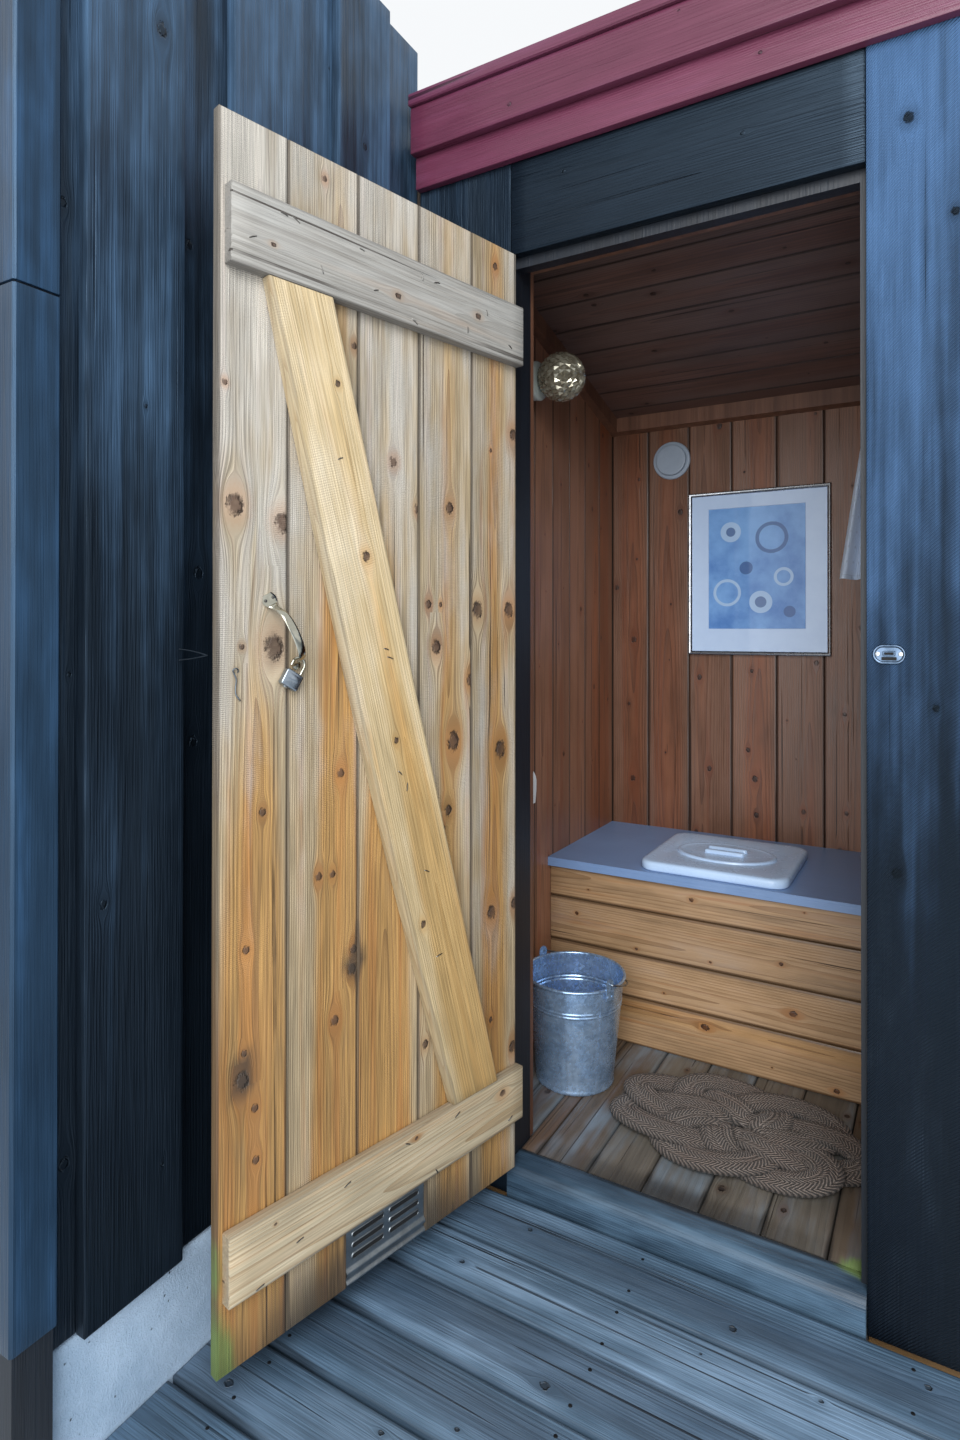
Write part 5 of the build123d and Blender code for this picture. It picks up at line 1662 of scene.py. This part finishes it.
def seat_lid():
    """Moulded lid with a raised oval and two finger bars."""
    p0, p1 = box_of("seat_lid")
    centre = Vector(((p0.x + p1.x) / 2, (p0.y + p1.y) / 2, BENCH_TOP))
    wide = p1.x - p0.x
    deep = p1.y - p0.y
    steps = 11
    count = 4 * (steps + 1)
    rings = []
    for inset, height in (
        (4, 0.3), (1.5, 2), (0.3, 6), (0.2, 16), (1.2, 20.5), (4, 24), (9, 25.8), (16, 26),
    ):
        ring = rounded_outline(wide - 2 * inset, deep - 2 * inset, 46 - inset * 0.5, steps)
        rings.append([(x, y, height) for x, y in ring])
    for half_x, half_y, height in (
        (150, 113, 25.4), (144, 107, 24.0), (140, 103, 24.2), (138, 101, 28.6), (135, 98, 30.0),
        (130, 93, 30.2), (126, 89, 29.0), (122, 85, 28.4), (80, 60, 28.8), (30, 22, 29.2), (0.5, 0.4, 29.4),
    ):
        circle = [polar(1, 360 * (i + 0.5) / count) for i in range(count)]
        rings.append([(half_x * x, half_y * y, height) for x, y in circle])
    shape = Shape()
    shape.rings(rings, on_axes(centre, X, Y, Z))
    bar = [(0, 28.6), (0.2, 34), (1.0, 36.8), (3.0, 38.4), (5.6, 38.8)]
    for side in (-21, 21):
        moulded(shape, 112, 17, 8.4, bar, on_axes(centre + Y * side, X, Y, Z))
    shape.finish("seat_lid_moulded", "lid", "lid_plastic", M["lid"], ["seat_lid"], 40)


def mat():
    """Oval mat of one wide coir braid that plaits over and under itself."""
    centre = middle("floor_mat")
    bights = 7
    ring = 104
    wave = 62
    stretch = 1.62
    half_band = 39
    half_thick = 6.8
    lift = 4.8
    foot = FLOOR + 0.4
    pitch = 9
    half_slant = 19
    count = 2600
    around = 22

    def line(i):
        turn = 6 * math.pi * i / count
        r = ring + wave * math.cos(bights * turn / 3)
        rise = lift * math.sin(2 * bights * turn / 3)
        return Vector((stretch * r * math.cos(turn), r * math.sin(turn), rise))

    path = [line(i) for i in range(count)]
    shape = Shape()
    braid = []
    rings = []
    run = 0.0
    for i, point in enumerate(path):
        before = path[i - 1]
        after = path[(i + 1) % count]
        ahead = (after - before).normalized()
        side = Vector((-ahead.y, ahead.x, 0)).normalized()
        bend = (after - 2 * point + before).dot(side) / ((after - before).length / 2) ** 2
        run += (point - before).length
        ring_points = []
        for k in range(around):
            angle = 2 * math.pi * k / around
            share = math.copysign(abs(math.cos(angle)) ** 0.7, math.cos(angle))
            height = math.copysign(abs(math.sin(angle)) ** 0.6, math.sin(angle))
            offset = share * half_band
            if bend * offset > 0.7:
                offset = (0.7 + 0.1 * (bend * offset - 0.7) / (1 + bend * offset)) / bend
            slant = 1.1 * (half_slant - abs((offset + 500) % (2 * half_slant) - half_slant))
            ridge = math.sin(2 * math.pi * (run + slant) / pitch)
            at = centre + point + side * (offset + 0.7 * ridge * share)
            at.z = foot + half_thick + lift + point.z + height * (half_thick - 1.0 + 0.9 * ridge)
            ring_points.append(at)
            # The third number is high on the braid's top and low at its sides and underside: painted shade
            # on the mat.
            braid.append((offset * MM, run * MM, max(0.0, 0.5 + 0.5 * height - abs(share) ** 6 * 0.5)))
        rings.append(ring_points)
    shape.rings(rings + [rings[0]], ends=(False, False))
    braid += braid[:around]
    core = [(share * 190, height) for share, height in ((0.98, 0.5), (1.0, 3.0), (0.97, 7.0), (0.9, 8.5))]
    shape.turned(
        [(0, 0.3)] + core + [(0, 8.5)], 48,
        lambda p: centre + Vector((p.x, p.y * 0.62, p.z - (centre.z - foot))),
    )
    # The flat core under the braid gets a low number: painted shade under the braid.
    braid += [(0.0, p.x * MM, 0.2) for p in shape.points[len(braid):]]
    piece(
        "floor_mat_plaited", "cabin", M["coir"], shape.points, shape.faces, ["floor_mat"],
        {"braid": braid}, 75,
    )


EAR_TURN = math.radians(-25)
BUCKET_PLACE = Vector((middle("bucket").x, middle("bucket").y, FLOOR))
BUCKET_X = X * math.cos(EAR_TURN) + Y * math.sin(EAR_TURN)
BUCKET_Y = Y * math.cos(EAR_TURN) - X * math.sin(EAR_TURN)
BAIL_PIVOT = high("bucket").z - FLOOR - 13


def bucket_wall(z):
    """Outer radius of the bucket at a height over its foot, with its two pressed beads."""
    bead = math.exp(-((z - 203) / 2.2) ** 2) + math.exp(-((z - 211.5) / 2.2) ** 2)
    return 100 + 28 * z / 270 + 1.7 * bead


def bucket():
    """Tapered pail with rolled rim, foot ring, lapped seam and ears."""
    heights = [12, 40, 80, 120, 160, 190] + [196 + 1.5 * k for k in range(16)] + [235, 262]
    sheet = 1.2
    rim_z = 270
    rim = bucket_wall(rim_z) + 1.2
    outline = [(0, 7), (96, 7), (98, 5), (99, 0.4), (100.4, 0.0), (102, 1.4), (102.6, 5), (101.9, 9)]
    outline += [(bucket_wall(z), z) for z in heights]
    for angle in range(-120, 181, 30):
        out, up = polar(3.9, angle)
        outline.append((rim + out, rim_z + up))
    outline += [(bucket_wall(z) - sheet, z) for z in heights[::-1]]
    outline += [(98, 9.4), (94, 8.6), (0, 8.4)]
    move = on_axes(BUCKET_PLACE, BUCKET_X, BUCKET_Y, Z)
    shape = Shape()
    shape.turned(outline, 96, move)
    seam = math.radians(-34) - EAR_TURN
    out = Vector((math.cos(seam), math.sin(seam), 0))
    across = Vector((-math.sin(seam), math.cos(seam), 0))
    for side, spread in ((0.3, 3.2), (-sheet - 0.2, 2.4)):
        lap = ((-spread, -0.6), (0.6 - spread, 0.5), (spread - 0.6, 0.5), (spread, -0.6))
        rings = []
        for z in heights:
            base = out * (bucket_wall(z) + side) + Z * z
            rings.append([base + across * a + out * rise for a, rise in lap])
        shape.rings(rings, move)
    foot_z = BAIL_PIVOT - 40
    profile = [(-12.5, foot_z), (12.5, foot_z), (13, foot_z + 8)]
    for angle in range(-10, 191, 20):
        profile.append((polar(12.6, angle)[0], BAIL_PIVOT + polar(12.4, angle)[1]))
    profile.append((-13, foot_z + 8))
    rivet = [(0, 1), (3.2, 2.4), (2.8, 3.6), (1.4, 4.3), (0, 4.5)]
    for side in (1, -1):
        out = BUCKET_X * side
        across = BUCKET_Y * side
        plate = on_axes(BUCKET_PLACE + out * (bucket_wall(rim_z) + 2.4), across, Z, out)
        shape.rings([[(x, z, h) for x, z in profile] for h in (0.2, 2.4)], plate)
        for x in (-7, 7):
            shape.turned(rivet, 12, on_axes(plate((x, foot_z + 9, 0)), across, Z, out))
    shape.finish("bucket_pail", "cabin", "galvanised", M["galvanised"], ["bucket"], 40)


def bail():
    """Wire handle of the bucket, with its ends bent in through the ears."""
    reach = 139.5
    drop = math.radians(-18)
    tilt_y = BUCKET_Y * math.cos(drop) + Z * math.sin(drop)
    move = on_axes(BUCKET_PLACE + Z * BAIL_PIVOT, BUCKET_X, tilt_y, Z)
    end = [(reach - 11.5, 0), (reach - 7, 0), (reach - 3, 0.4), (reach - 0.6, 3)]
    line = end + [polar(reach, angle) for angle in range(4, 177, 4)] + [(-x, y) for x, y in end[::-1]]
    shape = Shape()
    shape.tube([move((x, y, 0)) for x, y in line], 2.15, 10)
    shape.finish("bucket_bail_wire", "bail", "galvanised", M["wire"], ["bucket_bail"])


HANDLE_U = 565
HANDLE_Z = 1172
HANDLE_TILT = math.radians(25.9)


def pulls():
    """The bent strap handles on both faces of the door, with their screws."""
    line = [
        (128, 1.6), (119, 1.8), (112, 3.4), (105, 9), (98, 20), (87, 31), (72, 36), (54, 38), (34, 37),
        (18, 32), (8, 22), (3, 10), (0, 3.4), (-4, 1.7), (-9, 1.6),
    ]
    widths = [17, 27, 24, 12.5, 11.5, 13.5, 15, 15.5, 15.5, 15, 13.5, 12, 13, 16, 10]
    curve = smooth_line([(s, v, 0) for s, v in line], 4)
    wide = smooth_line([(w, 0, 0) for w in widths], 4)
    rings = []
    for i, point in enumerate(curve):
        ahead = (curve[min(i + 1, len(curve) - 1)] - curve[max(i - 1, 0)]).normalized()
        up = Vector((-ahead.y, ahead.x, 0))
        if up.y < 0 and point.y < 5:
            up = -up
        ring = []
        for angle in range(0, 360, 30):
            across, lift = polar(1, angle)
            over = wide[i].x / 2 * math.copysign(abs(across) ** 0.7, across)
            ring.append(point + Z * over - up * (lift * (1.5 if lift > 0 else 1.0)))
        rings.append(ring)
    along = LEAF_ACROSS * math.sin(HANDLE_TILT) + Z * math.cos(HANDLE_TILT)
    side = LEAF_ACROSS * math.cos(HANDLE_TILT) - Z * math.sin(HANDLE_TILT)
    screw = [(0, 0), (2.9, 0.2), (2.7, 0.9), (1.4, 1.3), (0, 1.35)]
    shape = Shape()
    screws = Shape()
    for start, out in ((LEAF_THICK, LEAF_OUT), (0, -LEAF_OUT)):
        move = on_axes(leaf(HANDLE_U, start, HANDLE_Z), along, out, side)
        shape.rings(rings, move)
        for s, w in ((119, -7.5), (119, 7.5), (-3.5, 0)):
            screws.turned(screw, 12, on_axes(move((s, 2.6, w)), along, side, out))
    shape.finish("door_pulls", "door", "steel", M["handle"], ["door_handle"], 60)
    screws.finish("door_pull_screws", "door", "steel", M["steel"])


def padlock():
    """Open padlock that hangs by its shackle from the inner pull."""
    tilt = math.radians(31)
    x_axis = LEAF_ACROSS * math.cos(tilt) + Z * math.sin(tilt)
    z_axis = Z * math.cos(tilt) - LEAF_ACROSS * math.sin(tilt)
    move = on_axes(leaf(HANDLE_U, LEAF_THICK + 9.8, HANDLE_Z) - z_axis * 1.6, x_axis, z_axis, LEAF_OUT)
    shackle = Shape()
    line = [(-12, -16), (-12, -8), (-12, 0)] + [polar(12, angle) for angle in range(165, 0, -15)]
    line += [(12, 0), (12, -4), (12, -7)]
    shackle.tube([move((x, z, 0)) for x, z in line], 2.5, 12)
    shackle.finish("padlock_shackle", "door", "steel", M["handle"], ["padlock"])
    body = Shape()
    levels = [(2.0, -6.4), (0.7, -5.6), (0.1, -4.2), (0, 0), (0.1, 4.2), (0.7, 5.6), (2.0, 6.4)]
    moulded(body, 35, 29, 4.5, levels, on_axes(move((0, -28.5, 0)), x_axis, z_axis, LEAF_OUT), 6)
    face = on_axes(move((0, -25, 0)), x_axis, z_axis, LEAF_OUT)
    for h in (6.2, -6.2):
        moulded(body, 24, 11, 3, [(0, h), (0.5, h * 1.06)], face)
    under = on_axes(move((4, -43.4, 0)), x_axis, LEAF_OUT, -z_axis)
    body.turned([(0, 0), (4.4, 0.2), (4.2, 1.0), (0, 1.0)], 16, under)
    body.finish("padlock_body", "door", "steel", M["lock"], [], 40)


def door_wire():
    """A bent wire eye left in the door's edge board."""
    u = 677
    face = LEAF_THICK
    path = [
        (u - 4, face - 2, 1160), (u - 5, face + 2, 1164), (u, face + 4.2, 1168), (u + 5.5, face + 4, 1165),
        (u + 3, face + 3, 1160), (u - 1, face + 2.6, 1150), (u, face + 2, 1136), (u - 1, face + 2.2, 1126),
        (u - 5, face + 3, 1120), (u - 8, face + 2, 1117), (u - 9, face - 2, 1116),
    ]
    shape = Shape()
    shape.tube(smooth_line([leaf(*p) for p in path], 4), 1.2, 8)
    shape.finish("door_bent_wire", "door", "steel", M["wire"])


def door_louvre():
    """Pressed louvre in the notch under the low ledge."""
    u0 = NOTCH[0] + 0.6
    u1 = NOTCH[1] - 0.6
    face = LEAF_THICK - 5
    profile = [
        (0.4, -1.2), (0, 0.6), (1, 4), (4.5, 5.6), (8, 4.4), (10, 2), (13, 1.6), (16, 2.4), (19, 5.4),
        (22.5, 6.4), (26, 5.4), (29, 2.4), (33, 1.6), (60, 1.6), (98, 1.6), (99.2, 1.2), (99.2, -0.6),
        (60, -0.8), (30, -0.8),
    ]
    shape = Shape()
    places = (u0, u0 + 1, (u0 + u1) / 2, u1 - 1, u1)
    shape.rings([[leaf(u, face + out, LEAF_FOOT + up) for up, out in profile] for u in places])
    slots = Shape()
    for share in (0.27, 0.73):
        for up in (46, 65, 84):
            centre = leaf(u0 + (u1 - u0) * share, face + 1.5, LEAF_FOOT + up)
            move = on_axes(centre, LEAF_ACROSS, Z, LEAF_OUT)
            moulded(shape, 76, 13, 6.4, [(0, 0), (0.4, 1.0), (1.4, 1.6), (2.4, 1.4), (2.8, 0.6)], move)
            # Near-black plate in each slot: painted shade behind the louvre.
            moulded(slots, 70.4, 7.4, 3.6, [(0, 0.2), (0.2, 0.9)], move)
    shape.finish("door_louvre_sheet", "door", "louvre_aluminium", M["louvre"], ["door_vent"], 40)
    slots.finish("door_louvre_slots", "door", "louvre_aluminium", M["hole_shade"])


def keeper_plate():
    """Oval strike plate with a raised rim, a slot with a lip, and two screws."""
    centre = middle("keeper_plate")

    def at(up):
        return on_axes((centre.x, 0, centre.z + up), X, Z, -Y)

    plate = Shape()
    moulded(plate, 52, 34, 16.8, [(0, 0.1), (0, 1.8), (1, 3.0), (2.6, 3.2), (4.2, 2.4), (5, 1.4)], at(0), 8)
    moulded(plate, 20, 9, 2, [(0, 1.2), (0, 5.4), (0.8, 6.4), (2, 6.4), (2.6, 3.4)], at(1.5))
    plate.finish("keeper_oval", "cabin", "steel", M["knob"], ["keeper_plate"], 40)
    # The slot is near-black pieces: painted shade inside it.
    slot = Shape()
    moulded(slot, 24, 6, 1.5, [(0, 1.3), (0.3, 2.0)], at(-7.5))
    moulded(slot, 14.4, 3.6, 1, [(0, 3.3), (0.2, 3.9)], at(1.5))
    slot.finish("keeper_slot", "cabin", "steel", M["hole_shade"])
    heads("keeper_screws", "cabin", "zinc", [at(0)((x, 0.5, 1.5)) for x in (-18, 18)], -Y, 4.2)


def hook_wire():
    """Thin wire loop between the wall and the open door."""
    p0, p1 = box_of("door_hook_wire")
    shape = Shape()
    tip = Vector((p1.x - 3.2, p0.y + 3, (p0.z + p1.z) / 2))
    for z, sag in ((p1.z - 3, 1.5), (p0.z + 3, -1.0)):
        start = Vector((p0.x + 1.0, p1.y - 3, z))
        line = [start]
        for share in (0.2, 0.4, 0.6, 0.8):
            line.append(start.lerp(tip, share) + Z * sag * math.sin(math.pi * share))
        shape.tube(smooth_line(line + [tip], 3), 0.9, 8)
    shape.finish("door_hook_loop", "cabin", "steel", M["wire"], ["door_hook_wire"])


door_boards()
door_ledges()
door_brace()
clenched_nails()
wing()
front_wall()
side_walls()
fascia()
roof_felt()
ground_works()
deck()
floor()
threshold()
lining()
bench()

lamp()
vent_disc()
picture()
paper_roll()
wall_pegs()
towel()
seat_lid()
mat()
bucket()
bail()
pulls()
padlock()
door_wire()
door_louvre()
keeper_plate()
hook_wire()

for node, material in {"roll_holder": "steel", "door_hinges": "hinge", "hinge_plates": "hinge"}.items():
    dress(node, material)


# Camera, floor and light

def stage():
    """A pale ground that the studio view stands on."""
    size = 14.0
    drop = -0.001
    mesh = bpy.data.meshes.new("studio_floor")
    corners = [(-size, -size, drop), (size, -size, drop), (size, size, drop), (-size, size, drop)]
    mesh.from_pydata(corners, [], [(0, 1, 2, 3)])
    plane = bpy.data.objects.new("studio_floor", mesh)
    bpy.context.scene.collection.objects.link(plane)
    m = Shader("studio_floor_pale")
    m.join(rgb("cfd2d6"), m.main.inputs["Base Color"])
    m.join(0.9, m.main.inputs["Roughness"])
    mesh.materials.append(m.material)


def area_light(name, place, target, size, power, colour):
    """A square lamp that points at a target."""
    light = bpy.data.lights.new(name, "AREA")
    light.shape = "SQUARE"
    light.size = size
    light.energy = power
    light.color = colour
    lamp = bpy.data.objects.new(name, light)
    lamp.location = place
    lamp.rotation_euler = (Vector(target) - Vector(place)).to_track_quat("-Z", "Y").to_euler()
    bpy.context.scene.collection.objects.link(lamp)


def lights():
    """Overcast sky, paler where it is seen or mirrored, and three soft lamps."""
    world = bpy.data.worlds.new("studio_sky")
    world.use_nodes = True
    bpy.context.scene.world = world
    tree = world.node_tree
    sky = tree.nodes["Background"]
    sky.inputs["Color"].default_value = (0.82, 0.91, 1.0, 1.0)
    sky.inputs["Strength"].default_value = 0.62
    seen = tree.nodes.new("ShaderNodeBackground")
    seen.inputs["Color"].default_value = (0.93, 0.95, 0.97, 1.0)
    seen.inputs["Strength"].default_value = 1.0
    path = tree.nodes.new("ShaderNodeLightPath")
    share = path.outputs["Is Camera Ray"]
    for ray in ("Is Glossy Ray", "Is Transmission Ray"):
        either = tree.nodes.new("ShaderNodeMath")
        either.operation = "MAXIMUM"
        tree.links.new(share, either.inputs[0])
        tree.links.new(path.outputs[ray], either.inputs[1])
        share = either.outputs[0]
    mix = tree.nodes.new("ShaderNodeMixShader")
    tree.links.new(share, mix.inputs[0])
    tree.links.new(sky.outputs[0], mix.inputs[1])
    tree.links.new(seen.outputs[0], mix.inputs[2])
    tree.links.new(mix.outputs[0], tree.nodes["World Output"].inputs["Surface"])
    area_light("key_soft", (1.6, -4.6, 3.6), (0.1, -0.2, 1.1), 3.2, 150, (1.0, 0.98, 0.95))
    area_light("fill_low", (0.7, -3.4, 1.2), (0.0, 0.6, 1.0), 2.0, 46, (0.94, 0.97, 1.0))
    area_light("fill_high", (1.4, -3.0, 3.5), (-0.1, 0.4, 0.7), 1.8, 62, (0.88, 0.94, 1.0))


def camera():
    """The photograph's view: lens, place and turn from a fit to its edges."""
    lens_mm = 20.245
    yaw = 30.334
    pitch = 0.2506
    roll = 0.05
    shift_up = -0.0642
    data = bpy.data.cameras.new("camera")
    data.sensor_fit = "VERTICAL"
    data.sensor_height = 36
    data.lens = lens_mm
    data.shift_y = shift_up
    data.clip_end = 60
    view = bpy.data.objects.new("camera", data)
    view.location = (0.5747, -1.7727, 1.4071)
    turn = Matrix.Identity(4)
    for degrees, axis in ((yaw, "Z"), (90 + pitch, "X"), (roll, "Z")):
        turn = turn @ Matrix.Rotation(math.radians(degrees), 4, axis)
    view.rotation_euler = turn.to_euler()
    bpy.context.scene.collection.objects.link(view)
    bpy.context.scene.camera = view


stage()
lights()
camera()
bpy.context.scene.view_settings.view_transform = "Standard"
